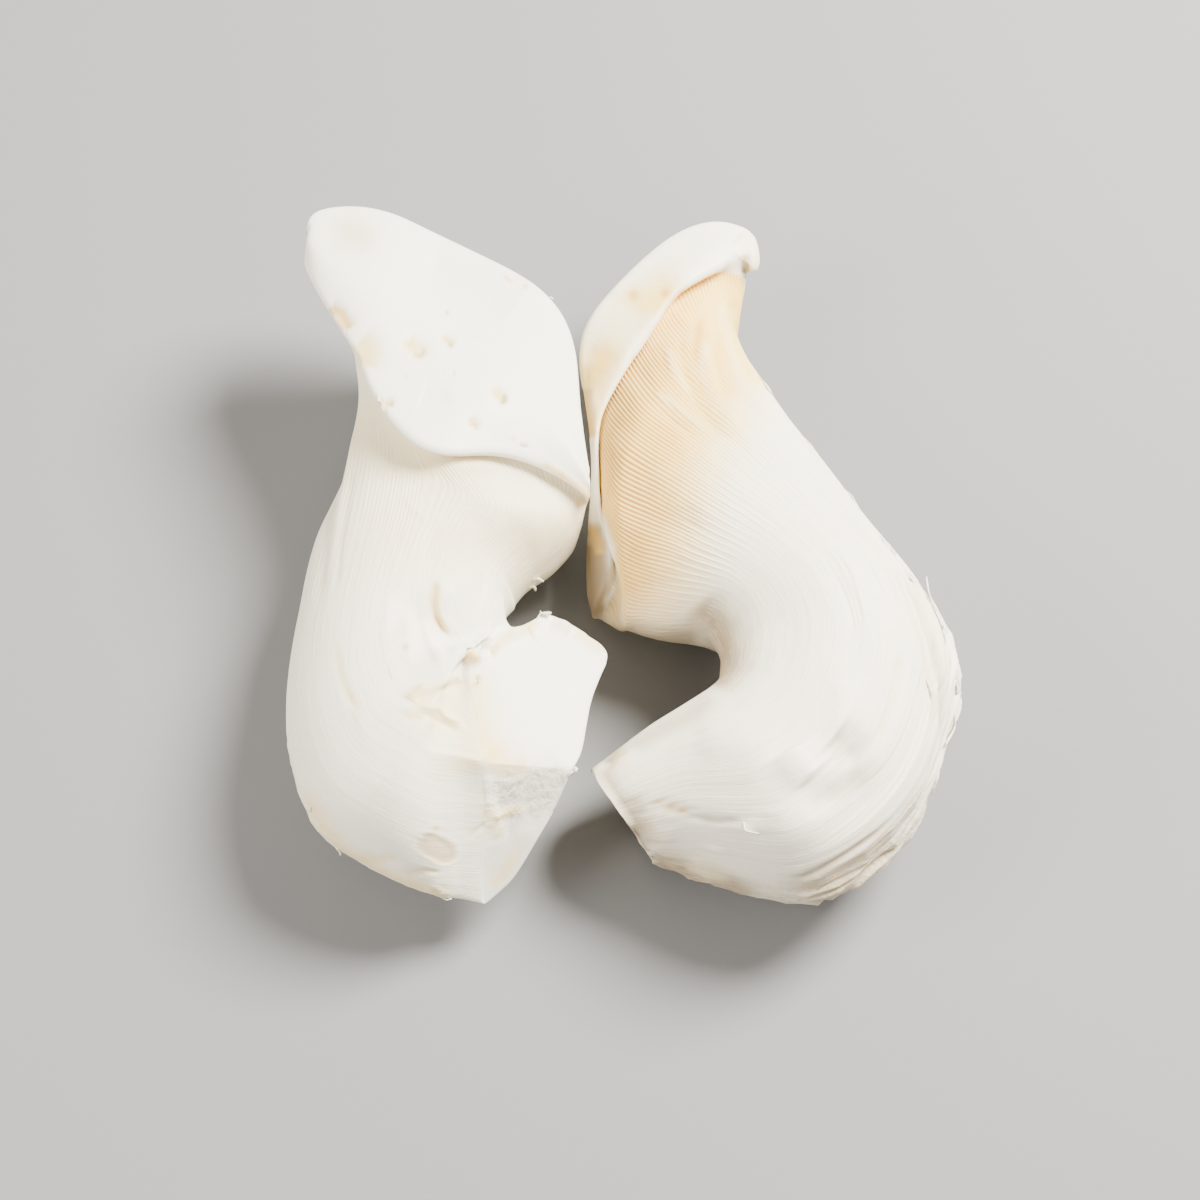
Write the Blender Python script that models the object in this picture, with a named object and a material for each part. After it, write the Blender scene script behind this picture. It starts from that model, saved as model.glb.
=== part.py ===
"""A pair of abalone mushrooms lying side by side, each one solid piece of flesh.

Run it in Blender 4.5. The tables are in millimetres, in the part's own frame: +Z up, caps
towards +Y, origin on the table under the middle of the pair. Each mushroom is a skin stretched
over closed sections that travel from the knife cut at the foot, along the bent stem, under the
cap's lip, over the cap and down to the middle of the cap's far side. Angle 0 is the right-hand
side of that travel, 90 degrees is up, 180 the left-hand side and 270 the side on the table.
"""
from collections import namedtuple

import bpy
import numpy as np

MM = 0.001
GILL_COLUMNS = 70        # ridges and valleys on the gilled half, by turns
PLAIN_COLUMNS = 22       # columns on the half without gills
GILL_DEPTH = 0.9         # how far the valleys lie below the ridges
GILLED_ARC = (-18, 198)  # degrees round the section that carry gills
THROAT = 0.65            # where the skin starts to turn, from the last section to the lip
CORNER = (-5, 0, 5)      # degrees over which the cut's corners are rounded
FLESH = (0.93, 0.91, 0.87, 1.0)
ROUGHNESS = 0.6

# One cross section: the plan points of its right and left sides, the height of its middle, how
# far it rises above and drops below that, how far its top leads the travel, and the power that
# squares its upper right quarter (1 is round). keep = (share, dx, dy) mixes in the cut's outline.
# lean is how far the top leads and the bottom trails on a section that slopes as a whole.
Section = namedtuple("Section", "right left height top bottom lead power keep lean")
Section.__new__.__defaults__ = (0, 1, None, 0)

# The cap's edge and its crest are read at angle 0, 30, 60 ... 330 degrees, and so is every list
# of 12 numbers: lip thickness, gap under the lip, depth of the groove behind it, swell between
# edge and crest, and how far the far side drops below the crest and tucks in.
RIGHT = dict(
    name="mushroom_right",
    stem=[
        Section((7, -68), (-5.5, -48.2), 13, 11, 12, lean=-2.9),
        Section((18, -73), (6, -41), 17, 15, 15),
        Section((37.5, -78.5), (14.5, -37), 20.5, 18.5, 18.5),
        Section((58, -63), (20, -33), 21.5, 20, 20),
        Section((66.5, -42.5), (21, -29), 21.5, 20.5, 21.9),
        Section((68, -29.5), (21, -26), 21.5, 20.5, 21.9),
        Section((62.5, -13.5), (19, -21.5), 21.5, 20.5, 20.5, 1),
        Section((53, 1.5), (15.5, -20), 21, 20, 20, 3),
        Section((45.5, 15), (10.5, -19.5), 20, 19.5, 19.5, 5),
        Section((39, 28), (6.5, -18.5), 18.5, 19, 19, 8),
        Section((32, 42), (3.5, -17), 17, 18, 18, 11),
        Section((26.5, 55.5), (1, -14.5), 16, 17, 16, 14),
    ],
    edge=[(30, 67.5, 24), (18, 63, 30), (7.5, 49.5, 30), (-1.5, 35, 28), (-4.5, 19, 25), (-3.5, 3.5, 24),
          (-3, -8, 19), (-3.5, -7, 10), (0, 7.5, 4), (5, 22.5, 3), (14, 41, 6), (21.5, 57, 14)],
    crest=[(30.5, 72.5, 24), (19, 77.5, 28), (2, 64, 28), (-8, 48, 25), (-6, 27, 20), (-6.5, 6.5, 15),
           (-6.5, -9, 11), (-5.5, -10, 7), (-2, 5.5, 3), (2, 24.5, 1.5), (11, 43, 4), (21, 60.5, 13)],
    lip_arc=(-2, 185, 25),
    lip=[2, 3, 3, 3, 3, 3, 2, 2, 2, 2, 2, 2],
    gap=[1, 1.5, 1.5, 1, 1, 1, 1, 1, 1, 1, 1, 1],
    groove=[1.5, 2.5, 2.5, 2, 2, 1.5, 1, 1, 1, 1, 1, 1],
    swell=[0.8] * 12,
    drop=[8, 8, 8, 8, 8, 8, 6, 3, 1, 0.5, 1, 4],
    tuck=[3, 3, 3, 3, 3, 3, 2, 1, 1, 1, 1, 2],
    far_middle=(-3, 31.5, 8),
    gills_from=(5, 9),
    trims=[],
    furrows=[],
    # Tight places evened out: where, how far round, and how many rounds.
    evened=[((-2, 5, 21.5), 6, 12), ((27, 65.5, 19.5), 10, 30), ((20, 58.5, 11.5), 8, 20)],
)

LEFT = dict(
    name="mushroom_left",
    # The foot is cut by two strokes of a knife: a point on each flat and the way it faces.
    flats=[((-28, -43, 36.5), (0.55, -0.05, 0.83)), ((-27, -75, 14), (0.51, -0.64, 0.57))],
    cut=[(-15, -19), (-23.5, -26.5), (-30, -37), (-27.5, -50.5), (-26, -60.5), (-26.5, -68.5),
         (-27.5, -77.5), (-21, -71.5), (-13, -59.5), (-7.5, -49), (-5.5, -36), (-1.5, -24)],
    cut_middle=(-16.5, -53.5, 28.5),
    stem=[
        Section((-14.5, -20.5), (-30.5, -78), 19, 19, 19, 6, 0.75, (0.7, -5, 1)),
        Section((-18, -21), (-35, -77.5), 19.5, 19.5, 19.5, 7, 0.7, (0.25, -15, 2)),
        Section((-21, -20.5), (-46.5, -73), 20, 20, 20.6, 3, 0.7),
        Section((-23, -19), (-60.5, -63.5), 20, 20, 20.6, 0, 0.7),
        Section((-24, -16.5), (-67, -45.5), 20, 20, 20.6, 0, 0.7),
        Section((-23, -13.5), (-67.5, -28.5), 20, 20, 20.6, 0, 0.75),
        Section((-21, -10.5), (-66, -14.5), 20, 19.5, 20.6, 0, 0.8),
        Section((-18, -7), (-64.5, 1.5), 20, 19, 20.4, 0, 0.9),
        Section((-13.5, -4), (-62.5, 14), 20, 18.5, 20.3, -4, 0.8),
        Section((-10, -0.5), (-60.5, 26), 20, 19, 19, -8, 0.65),
        Section((-7.5, 3.5), (-57.5, 37), 20, 19.5, 18, -13, 0.5),
    ],
    edge=[(-5.5, 5.5, 31), (-17, 11, 38.5), (-31, 10.5, 43), (-44, 14.5, 45), (-52.5, 29, 44),
          (-59, 42.5, 43), (-67, 61, 39.5), (-58, 54.5, 26), (-50, 44.5, 10), (-35, 33.5, 3),
          (-21, 21.5, 7), (-10, 10.5, 16)],
    crest=[(-6, 10, 31), (-8, 29.5, 32), (-12.5, 52.5, 31), (-28, 65.5, 32), (-44, 72, 36),
           (-58, 74.5, 38), (-66, 68.5, 39), (-60, 61.5, 27), (-50, 50.5, 8), (-35, 37.5, 1.5),
           (-20, 26.5, 5), (-9, 14.5, 16)],
    lip_arc=(0, 190, 20),
    lip=[2, 3, 3, 3, 3, 3, 3, 2, 2, 2, 2, 2],
    gap=[0.8, 0.8, 0.8, 1, 1.5, 1.5, 1, 1, 1, 1, 1, 1],
    groove=[1.5, 1.5, 1.5, 2, 2.5, 2, 1.5, 1, 1, 1, 1, 1],
    swell=[2, 3, 3, 3, 3, 3, 1.5, 1, 1, 1, 1, 1],
    drop=[12, 14, 14, 14, 14, 12, 9, 8, 5, 0.5, 2, 8],
    tuck=[8, 8, 8, 7, 8, 12, 14, 8, 5, 2, 2, 6],
    far_middle=(-33, 51.5, 7),
    gills_from=(7, 10),
    trims=[],
    # A furrow: its line in plan, depth, and how far it reaches to its left and to its right.
    furrows=[([(-36, -29), (-31, -30.5), (-26, -27), (-20, -24)], 4.0, 7.0, 1.5)],
    evened=[((-22.5, -21.5, 27), 7, 30), ((-7, 8, 24.5), 8, 20)],
)


def closed_curve(keys, angles):
    """A smooth closed curve through evenly spaced keys, read at angles."""
    keys = np.asarray(keys, float)
    waves = np.fft.rfft(keys, axis=0) / len(keys)
    points = np.zeros((len(angles), keys.shape[1]))
    for order, wave in enumerate(waves):
        share = 1.0 if order == 0 or 2 * order == len(keys) else 2.0
        points += share * np.real(np.exp(1j * order * angles)[:, None] * wave[None])
    return points


def read_ring(values, angles):
    """Twelve numbers round the section, read at angles as a column."""
    return closed_curve(np.asarray(values, float)[:, None], angles)


def unit(vectors):
    return vectors / np.maximum(np.linalg.norm(vectors, axis=-1, keepdims=True), 1e-9)


def ease(values, start, end):
    """0 before start, 1 after end, smooth between them."""
    t = np.clip((np.asarray(values, float) - start) / (end - start), 0, 1)
    return t * t * (3 - 2 * t)


def arc_share(angles, start, end, soft):
    """1 on the arc from start to end in degrees, easing to 0 over soft degrees outside it."""
    middle, half = (start + end) / 2, (end - start) / 2
    outside = np.abs((np.degrees(angles) - middle + 180) % 360 - 180) - half
    return 1 - ease(outside, 0, soft)


def flat_height(flats, plan):
    """Height of the lowest of the knife's flats over plan points."""
    heights = []
    for point, facing in flats:
        level = np.dot(facing, point) - plan[:, 0] * facing[0] - plan[:, 1] * facing[1]
        heights.append(level / facing[2])
    return np.min(heights, axis=0)


def cut_outline(mushroom, angles):
    """The knife's outline: straight from key to key, its corners a little rounded."""
    keys = np.array(mushroom["cut"] + mushroom["cut"][:1], float)
    at = np.linspace(0, 2 * np.pi, len(keys))
    plan = np.zeros((len(angles), 2))
    for turn in np.radians(CORNER):
        turned = (angles + turn) % (2 * np.pi)
        plan += np.column_stack([np.interp(turned, at, keys[:, axis]) for axis in (0, 1)])
    plan /= len(CORNER)
    return np.column_stack([plan, flat_height(mushroom["flats"], plan)])


def section_ring(section, angles):
    right, left = np.array(section.right, float), np.array(section.left, float)
    middle = np.append((right + left) / 2, section.height)
    half = np.linalg.norm(right - left) / 2
    side = np.append((right - left) / (2 * half), 0.0)
    travel = np.array([-side[1], side[0], 0.0])
    across, rise = np.cos(angles), np.sin(angles)
    power = np.where((across > 0) & (rise > 0), section.power, 1.0)
    tall = np.where(rise > 0, section.top, section.bottom) * np.sign(rise) * np.abs(rise) ** power
    wide = half * np.sign(across) * np.abs(across) ** power
    lead = section.lead * np.clip(rise, 0, 1) ** 2 + section.lean * rise
    up = np.array([0.0, 0.0, 1.0])
    return middle + wide[:, None] * side + tall[:, None] * up + lead[:, None] * travel


def stem_rings(mushroom, angles):
    rings = []
    if "cut" in mushroom:
        cut = cut_outline(mushroom, angles)
        rings.append(cut)
    for section in mushroom["stem"]:
        ring = section_ring(section, angles)
        if section.keep:
            share, dx, dy = section.keep
            ring = ring * (1 - share) + (cut + np.array([dx, dy, 0.0])) * share
        rings.append(ring)
    return rings


def cap_rings(mushroom, belly, angles):
    """Rings from the throat under the lip, round the lip's edge, over the crest and behind it."""
    edge, crest = closed_curve(mushroom["edge"], angles), closed_curve(mushroom["crest"], angles)
    middle = np.array(mushroom["far_middle"], float)
    level = np.array([1.0, 1.0, 0.0])
    vertical = np.array([0.0, 0.0, 1.0])
    outward = unit(crest - edge)
    up = unit(vertical - outward[:, 2:] * outward)
    inward = unit((middle - crest) * level)
    lip, gap, groove, swell, drop, tuck = (
        read_ring(mushroom[name], angles) for name in ("lip", "gap", "groove", "swell", "drop", "tuck"))
    behind = crest - drop * vertical + tuck * inward
    behind[:, 2] = np.maximum(behind[:, 2], 1.0)
    rings = [edge - (lip + gap * down) * up + groove * deep * outward
             for down, deep in ((0.9, 0.6), (0.5, 1.0), (0.05, 0.6))]
    rings.insert(0, belly + (rings[0] - belly) * THROAT)
    for down, out in ((1.0, 0.3), (0.45, -0.15), (0.0, 0.3)):
        rings.append(edge - down * lip * up + out * lip * outward)
    for share in (0.35, 0.7):
        rings.append(edge + (crest - edge) * share + up * swell * np.sin(np.pi * share))
    rings += [crest, behind]
    front = arc_share(angles, *mushroom["lip_arc"])[:, None]
    for count, ring in enumerate(rings, 1):
        plain = belly + (behind - belly) * (0.25 + 0.75 * count / len(rings))
        rings[count - 1] = front * ring + (1 - front) * plain
    last = rings[-1]
    for share in (0.4, 0.75):
        ring = last + (middle - last) * share
        ring[:, 2] = middle[2] + (last[:, 2] - middle[2]) * (1 - share) ** 2
        rings.append(ring)
    return rings


def point_between(p, knots, t):
    """The centripetal curve through four rings, read between the second and the third."""
    a = [((knots[j + 1] - t) * p[j] + (t - knots[j]) * p[j + 1]) / (knots[j + 1] - knots[j])
         for j in range(3)]
    b = [((knots[j + 2] - t) * a[j] + (t - knots[j]) * a[j + 1]) / (knots[j + 2] - knots[j])
         for j in range(2)]
    return ((knots[2] - t) * b[0] + (t - knots[1]) * b[1]) / (knots[2] - knots[1])


def stretch(rings, rows_between):
    """Rows of points on smooth curves through the rings, and each row's place among the rings."""
    chain = [2 * rings[0] - rings[1]] + list(rings) + [2 * rings[-1] - rings[-2]]
    rows, places = [rings[0]], [0.0]
    for i, count in enumerate(rows_between):
        p = chain[i:i + 4]
        knots = [np.zeros((len(rings[0]), 1))]
        for a, b in zip(p, p[1:]):
            step = np.sqrt(np.linalg.norm(b - a, axis=1))[:, None]
            knots.append(knots[-1] + np.maximum(step, 1e-3))
        for k in range(1, count + 1):
            t = knots[1] + (knots[2] - knots[1]) * k / count
            rows.append(point_between(p, knots, t))
            places.append(i + k / count)
    return np.array(rows), np.array(places)


def column_angles(mushroom):
    """Columns evenly spaced along the cap's edge where there are gills, and wider elsewhere."""
    start, end = np.radians(GILLED_ARC)
    fine = np.linspace(start, end, 721)
    steps = np.diff(closed_curve(mushroom["edge"], fine), axis=0)
    walked = np.append(0.0, np.cumsum(np.linalg.norm(steps, axis=1)))
    gilled = np.interp(np.linspace(0, walked[-1], GILL_COLUMNS + 1), walked, fine)
    plain = np.linspace(end, start + 2 * np.pi, PLAIN_COLUMNS + 1)[1:-1]
    return np.concatenate([gilled, plain])


def outward_normals(rows):
    along = np.gradient(rows, axis=0)
    round_section = np.roll(rows, -1, axis=1) - np.roll(rows, 1, axis=1)
    return unit(np.cross(along, round_section))


def raise_gills(mushroom, rows, places, angles, lip_place):
    """Sink every other column below the ridges, from the stem up into the groove under the lip."""
    start, full = mushroom["gills_from"]
    along = ease(places, start, full) * (1 - ease(places, lip_place - 1, lip_place + 0.5))
    soft = 12
    round_section = arc_share(angles, GILLED_ARC[0] + soft, GILLED_ARC[1] - soft, soft)
    valley = np.arange(len(angles)) % 2
    depth = GILL_DEPTH * along[:, None] * (round_section * valley)[None]
    return rows - depth[..., None] * outward_normals(rows)


def furrow_share(plan, line, left, right):
    """1 on a furrow's line, falling to 0 over its reach on either side."""
    share = np.zeros(len(plan))
    for a, b in zip(np.array(line[:-1], float), np.array(line[1:], float)):
        run = b - a
        t = np.clip((plan - a) @ run / (run @ run), 0, 1)
        off = plan - (a + t[:, None] * run)
        reach = np.where(run[0] * off[:, 1] - run[1] * off[:, 0] > 0, left, right)
        share = np.maximum(share, np.exp(-(np.linalg.norm(off, axis=1) / reach) ** 2))
    return share


def carve(mushroom, rows):
    """Furrows in the upper side, knife trims, and the flat that rests on the table."""
    points = rows.reshape(-1, 3)
    upper = ease(points[:, 2], 15, 25)
    for line, depth, left, right in mushroom["furrows"]:
        points[:, 2] -= depth * upper * furrow_share(points[:, :2], line, left, right)
    for facing, bite in mushroom["trims"]:
        facing = unit(np.array(facing))
        limit = (points @ facing).max() - bite
        points -= np.maximum(points @ facing - limit, 0)[:, None] * facing
    points[:, 2] = np.maximum(points[:, 2], 0)
    return points.reshape(rows.shape)


def even_out(mushroom, rows):
    """Draw the points near each tight place towards the middle of their neighbours."""
    for where, reach, rounds in mushroom["evened"]:
        off = np.linalg.norm(rows - np.array(where, float), axis=-1)
        share = 0.5 * (1 - ease(off, reach / 2, reach))[..., None]
        for _ in range(rounds):
            beside = (np.roll(rows, 1, axis=1) + np.roll(rows, -1, axis=1)) / 2
            ahead = rows.copy()
            ahead[1:-1] = (rows[:-2] + rows[2:]) / 2
            rows = rows + share * ((beside + ahead) / 2 - rows)
    return rows


def mushroom_mesh(mushroom):
    angles = column_angles(mushroom)
    stem = stem_rings(mushroom, angles)
    cap = cap_rings(mushroom, stem[-1], angles)
    pole = np.broadcast_to(np.array(mushroom["far_middle"], float), stem[0].shape)
    rows_between = [2] * len(stem) + [1] * (len(cap) - 1)
    rows, places = stretch(stem + cap + [pole], rows_between)
    rows = raise_gills(mushroom, rows, places, angles, len(stem))
    rows = even_out(mushroom, carve(mushroom, rows))
    middle = mushroom.get("cut_middle", rows[0].mean(axis=0))
    points = np.vstack([rows.reshape(-1, 3), [middle], pole[:1]])
    count, last = len(angles), (len(rows) - 1) * len(angles)
    foot, far = len(points) - 2, len(points) - 1
    faces = []
    for j in range(count):
        k = (j + 1) % count
        faces.append((foot, j, k))
        faces.append((far, last + k, last + j))
        for low in range(0, last, count):
            faces.append((low + j, low + count + j, low + count + k))
            faces.append((low + j, low + count + k, low + k))
    return points, faces


def flesh_material(name):
    material = bpy.data.materials.new(name)
    material.use_nodes = True
    shader = material.node_tree.nodes["Principled BSDF"]
    shader.inputs["Base Color"].default_value = FLESH
    shader.inputs["Roughness"].default_value = ROUGHNESS
    shader.inputs["Metallic"].default_value = 0.0
    return material


def build():
    for old in list(bpy.data.objects):
        bpy.data.objects.remove(old, do_unlink=True)
    shapes = [mushroom_mesh(mushroom) for mushroom in (LEFT, RIGHT)]
    everything = np.vstack([points for points, faces in shapes])
    middle = (everything.min(axis=0) + everything.max(axis=0)) / 2
    for mushroom, (points, faces) in zip((LEFT, RIGHT), shapes):
        centred = points - np.array([middle[0], middle[1], 0.0])
        mesh = bpy.data.meshes.new(mushroom["name"])
        mesh.from_pydata((centred * MM).tolist(), [], faces)
        mesh.shade_smooth()
        mesh.materials.append(flesh_material(mushroom["name"] + "_flesh"))
        piece = bpy.data.objects.new(mushroom["name"], mesh)
        bpy.context.collection.objects.link(piece)


build()
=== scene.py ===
"""The look of a pair of abalone mushrooms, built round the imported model.

The sections and the way they are skinned are those of the part's own source; here the skin is
finer and carries true-size gills, fibres, creases, scars and knife marks. Tables and shapes are
in millimetres in the part's frame: +Z up, caps towards +Y.
"""
import math
from collections import namedtuple

import bpy
import numpy as np
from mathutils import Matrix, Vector


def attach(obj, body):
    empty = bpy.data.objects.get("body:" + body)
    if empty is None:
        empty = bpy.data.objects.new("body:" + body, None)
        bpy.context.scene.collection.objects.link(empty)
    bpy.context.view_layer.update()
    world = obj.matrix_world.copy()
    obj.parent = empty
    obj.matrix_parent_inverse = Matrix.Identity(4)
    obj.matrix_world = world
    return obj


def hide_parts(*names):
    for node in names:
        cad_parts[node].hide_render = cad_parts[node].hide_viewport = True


MM = 0.001
GILL_COLUMNS = 70        # ridges and valleys on the gilled half, by turns
PLAIN_COLUMNS = 22       # columns on the half without gills
GILL_DEPTH = 0.9         # how far the valleys lie below the ridges
GILLED_ARC = (-18, 198)  # degrees round the section that carry gills
THROAT = 0.65            # where the skin starts to turn, from the last section to the lip
CORNER = (-5, 0, 5)      # degrees over which the cut's corners are rounded

# One cross section: the plan points of its right and left sides, the height of its middle, how
# far it rises above and drops below that, how far its top leads the travel, and the power that
# squares its upper right quarter (1 is round). keep = (share, dx, dy) mixes in the cut's outline.
# lean is how far the top leads and the bottom trails on a section that slopes as a whole.
Section = namedtuple("Section", "right left height top bottom lead power keep lean",
                     defaults=(0, 1, None, 0))

# The cap's edge and its crest are read at angle 0, 30, 60 ... 330 degrees, and so is every list
# of 12 numbers: lip thickness, gap under the lip, depth of the groove behind it, swell between
# edge and crest, and how far the far side drops below the crest and tucks in.
RIGHT = dict(
    name="mushroom_right",
    stem=[
        Section((7, -68), (-5.5, -48.2), 13, 11, 12, lean=-2.9),
        Section((18, -73), (6, -41), 17, 15, 15),
        Section((37.5, -78.5), (14.5, -37), 20.5, 18.5, 18.5),
        Section((58, -63), (20, -33), 21.5, 20, 20),
        Section((66.5, -42.5), (21, -29), 21.5, 20.5, 21.9),
        Section((68, -29.5), (21, -26), 21.5, 20.5, 21.9),
        Section((62.5, -13.5), (19, -21.5), 21.5, 20.5, 20.5, 1),
        Section((53, 1.5), (15.5, -20), 21, 20, 20, 3),
        Section((45.5, 15), (10.5, -19.5), 20, 19.5, 19.5, 5),
        Section((39, 28), (6.5, -18.5), 18.5, 19, 19, 8),
        Section((32, 42), (3.5, -17), 17, 18, 18, 11),
        Section((26.5, 55.5), (1, -14.5), 16, 17, 16, 14),
    ],
    edge=[(30, 67.5, 24), (18, 63, 30), (7.5, 49.5, 30), (-1.5, 35, 28), (-4.5, 19, 25), (-3.5, 3.5, 24),
          (-3, -8, 19), (-3.5, -7, 10), (0, 7.5, 4), (5, 22.5, 3), (14, 41, 6), (21.5, 57, 14)],
    crest=[(30.5, 72.5, 24), (19, 77.5, 28), (2, 64, 28), (-8, 48, 25), (-6, 27, 20), (-6.5, 6.5, 15),
           (-6.5, -9, 11), (-5.5, -10, 7), (-2, 5.5, 3), (2, 24.5, 1.5), (11, 43, 4), (21, 60.5, 13)],
    lip_arc=(-2, 185, 25),
    lip=[2, 3, 3, 3, 3, 3, 2, 2, 2, 2, 2, 2],
    gap=[1, 1.5, 1.5, 1, 1, 1, 1, 1, 1, 1, 1, 1],
    groove=[1.5, 2.5, 2.5, 2, 2, 1.5, 1, 1, 1, 1, 1, 1],
    swell=[0.8] * 12,
    drop=[8, 8, 8, 8, 8, 8, 6, 3, 1, 0.5, 1, 4],
    tuck=[3, 3, 3, 3, 3, 3, 2, 1, 1, 1, 1, 2],
    far_middle=(-3, 31.5, 8),
    gills_from=(5, 9),
    furrows=[],
    # Tight places evened out: where, how far round, and how many rounds.
    evened=[((-2, 5, 21.5), 6, 12), ((27, 65.5, 19.5), 10, 30), ((20, 58.5, 11.5), 8, 20)],
)

LEFT = dict(
    name="mushroom_left",
    # The foot is cut by two strokes of a knife: a point on each flat and the way it faces.
    flats=[((-28, -43, 36.5), (0.55, -0.05, 0.83)), ((-27, -75, 14), (0.51, -0.64, 0.57))],
    cut=[(-15, -19), (-23.5, -26.5), (-30, -37), (-27.5, -50.5), (-26, -60.5), (-26.5, -68.5),
         (-27.5, -77.5), (-21, -71.5), (-13, -59.5), (-7.5, -49), (-5.5, -36), (-1.5, -24)],
    cut_middle=(-16.5, -53.5, 28.5),
    stem=[
        Section((-14.5, -20.5), (-30.5, -78), 19, 19, 19, 6, 0.75, (0.7, -5, 1)),
        Section((-18, -21), (-35, -77.5), 19.5, 19.5, 19.5, 7, 0.7, (0.25, -15, 2)),
        Section((-21, -20.5), (-46.5, -73), 20, 20, 20.6, 3, 0.7),
        Section((-23, -19), (-60.5, -63.5), 20, 20, 20.6, 0, 0.7),
        Section((-24, -16.5), (-67, -45.5), 20, 20, 20.6, 0, 0.7),
        Section((-23, -13.5), (-67.5, -28.5), 20, 20, 20.6, 0, 0.75),
        Section((-21, -10.5), (-66, -14.5), 20, 19.5, 20.6, 0, 0.8),
        Section((-18, -7), (-64.5, 1.5), 20, 19, 20.4, 0, 0.9),
        Section((-13.5, -4), (-62.5, 14), 20, 18.5, 20.3, -4, 0.8),
        Section((-10, -0.5), (-60.5, 26), 20, 19, 19, -8, 0.65),
        Section((-7.5, 3.5), (-57.5, 37), 20, 19.5, 18, -13, 0.5),
    ],
    edge=[(-5.5, 5.5, 31), (-17, 11, 38.5), (-31, 10.5, 43), (-44, 14.5, 45), (-52.5, 29, 44),
          (-59, 42.5, 43), (-67, 61, 39.5), (-58, 54.5, 26), (-50, 44.5, 10), (-35, 33.5, 3),
          (-21, 21.5, 7), (-10, 10.5, 16)],
    crest=[(-6, 10, 31), (-8, 29.5, 32), (-12.5, 52.5, 31), (-28, 65.5, 32), (-44, 72, 36),
           (-58, 74.5, 38), (-66, 68.5, 39), (-60, 61.5, 27), (-50, 50.5, 8), (-35, 37.5, 1.5),
           (-20, 26.5, 5), (-9, 14.5, 16)],
    lip_arc=(0, 190, 20),
    lip=[2, 3, 3, 3, 3, 3, 3, 2, 2, 2, 2, 2],
    gap=[0.8, 0.8, 0.8, 1, 1.5, 1.5, 1, 1, 1, 1, 1, 1],
    groove=[1.5, 1.5, 1.5, 2, 2.5, 2, 1.5, 1, 1, 1, 1, 1],
    swell=[2, 3, 3, 3, 3, 3, 1.5, 1, 1, 1, 1, 1],
    drop=[12, 14, 14, 14, 14, 12, 9, 8, 5, 0.5, 2, 8],
    tuck=[8, 8, 8, 7, 8, 12, 14, 8, 5, 2, 2, 6],
    far_middle=(-33, 51.5, 7),
    gills_from=(7, 10),
    # A furrow: its line in plan, depth, and how far it reaches to its left and to its right.
    furrows=[([(-36, -29), (-31, -30.5), (-26, -27), (-20, -24)], 4.0, 7.0, 1.5)],
    evened=[((-22.5, -21.5, 27), 7, 30), ((-7, 8, 24.5), 8, 20)],
)


def closed_curve(keys, angles):
    """A smooth closed curve through evenly spaced keys, read at angles."""
    keys = np.asarray(keys, float)
    waves = np.fft.rfft(keys, axis=0) / len(keys)
    points = np.zeros((len(angles), keys.shape[1]))
    for order, wave in enumerate(waves):
        share = 1.0 if order == 0 or 2 * order == len(keys) else 2.0
        points += share * np.real(np.exp(1j * order * angles)[:, None] * wave[None])
    return points


def read_ring(values, angles):
    """Twelve numbers round the section, read at angles as a column."""
    return closed_curve(np.asarray(values, float)[:, None], angles)


def unit(vectors):
    return vectors / np.maximum(np.linalg.norm(vectors, axis=-1, keepdims=True), 1e-9)


def ease(values, start, end):
    """0 before start, 1 after end, smooth between them."""
    t = np.clip((np.asarray(values, float) - start) / (end - start), 0, 1)
    return t * t * (3 - 2 * t)


def arc_share(angles, start, end, soft):
    """1 on the arc from start to end in degrees, easing to 0 over soft degrees outside it."""
    middle, half = (start + end) / 2, (end - start) / 2
    outside = np.abs((np.degrees(angles) - middle + 180) % 360 - 180) - half
    return 1 - ease(outside, 0, soft)


def flat_height(flats, plan):
    """Height of the lowest of the knife's flats over plan points."""
    heights = []
    for point, facing in flats:
        level = np.dot(facing, point) - plan[:, 0] * facing[0] - plan[:, 1] * facing[1]
        heights.append(level / facing[2])
    return np.min(heights, axis=0)


def cut_outline(mushroom, angles):
    """The knife's outline: straight from key to key, its corners a little rounded."""
    keys = np.array(mushroom["cut"] + mushroom["cut"][:1], float)
    at = np.linspace(0, 2 * np.pi, len(keys))
    plan = np.zeros((len(angles), 2))
    for turn in np.radians(CORNER):
        turned = (angles + turn) % (2 * np.pi)
        plan += np.column_stack([np.interp(turned, at, keys[:, axis]) for axis in (0, 1)])
    plan /= len(CORNER)
    return np.column_stack([plan, flat_height(mushroom["flats"], plan)])


def section_ring(section, angles):
    right, left = np.array(section.right, float), np.array(section.left, float)
    middle = np.append((right + left) / 2, section.height)
    half = np.linalg.norm(right - left) / 2
    side = np.append((right - left) / (2 * half), 0.0)
    travel = np.array([-side[1], side[0], 0.0])
    across, rise = np.cos(angles), np.sin(angles)
    power = np.where((across > 0) & (rise > 0), section.power, 1.0)
    tall = np.where(rise > 0, section.top, section.bottom) * np.sign(rise) * np.abs(rise) ** power
    wide = half * np.sign(across) * np.abs(across) ** power
    lead = section.lead * np.clip(rise, 0, 1) ** 2 + section.lean * rise
    up = np.array([0.0, 0.0, 1.0])
    return middle + wide[:, None] * side + tall[:, None] * up + lead[:, None] * travel


def stem_rings(mushroom, angles):
    rings = []
    if "cut" in mushroom:
        cut = cut_outline(mushroom, angles)
        rings.append(cut)
    for section in mushroom["stem"]:
        ring = section_ring(section, angles)
        if section.keep:
            share, dx, dy = section.keep
            ring = ring * (1 - share) + (cut + np.array([dx, dy, 0.0])) * share
        rings.append(ring)
    return rings


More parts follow.
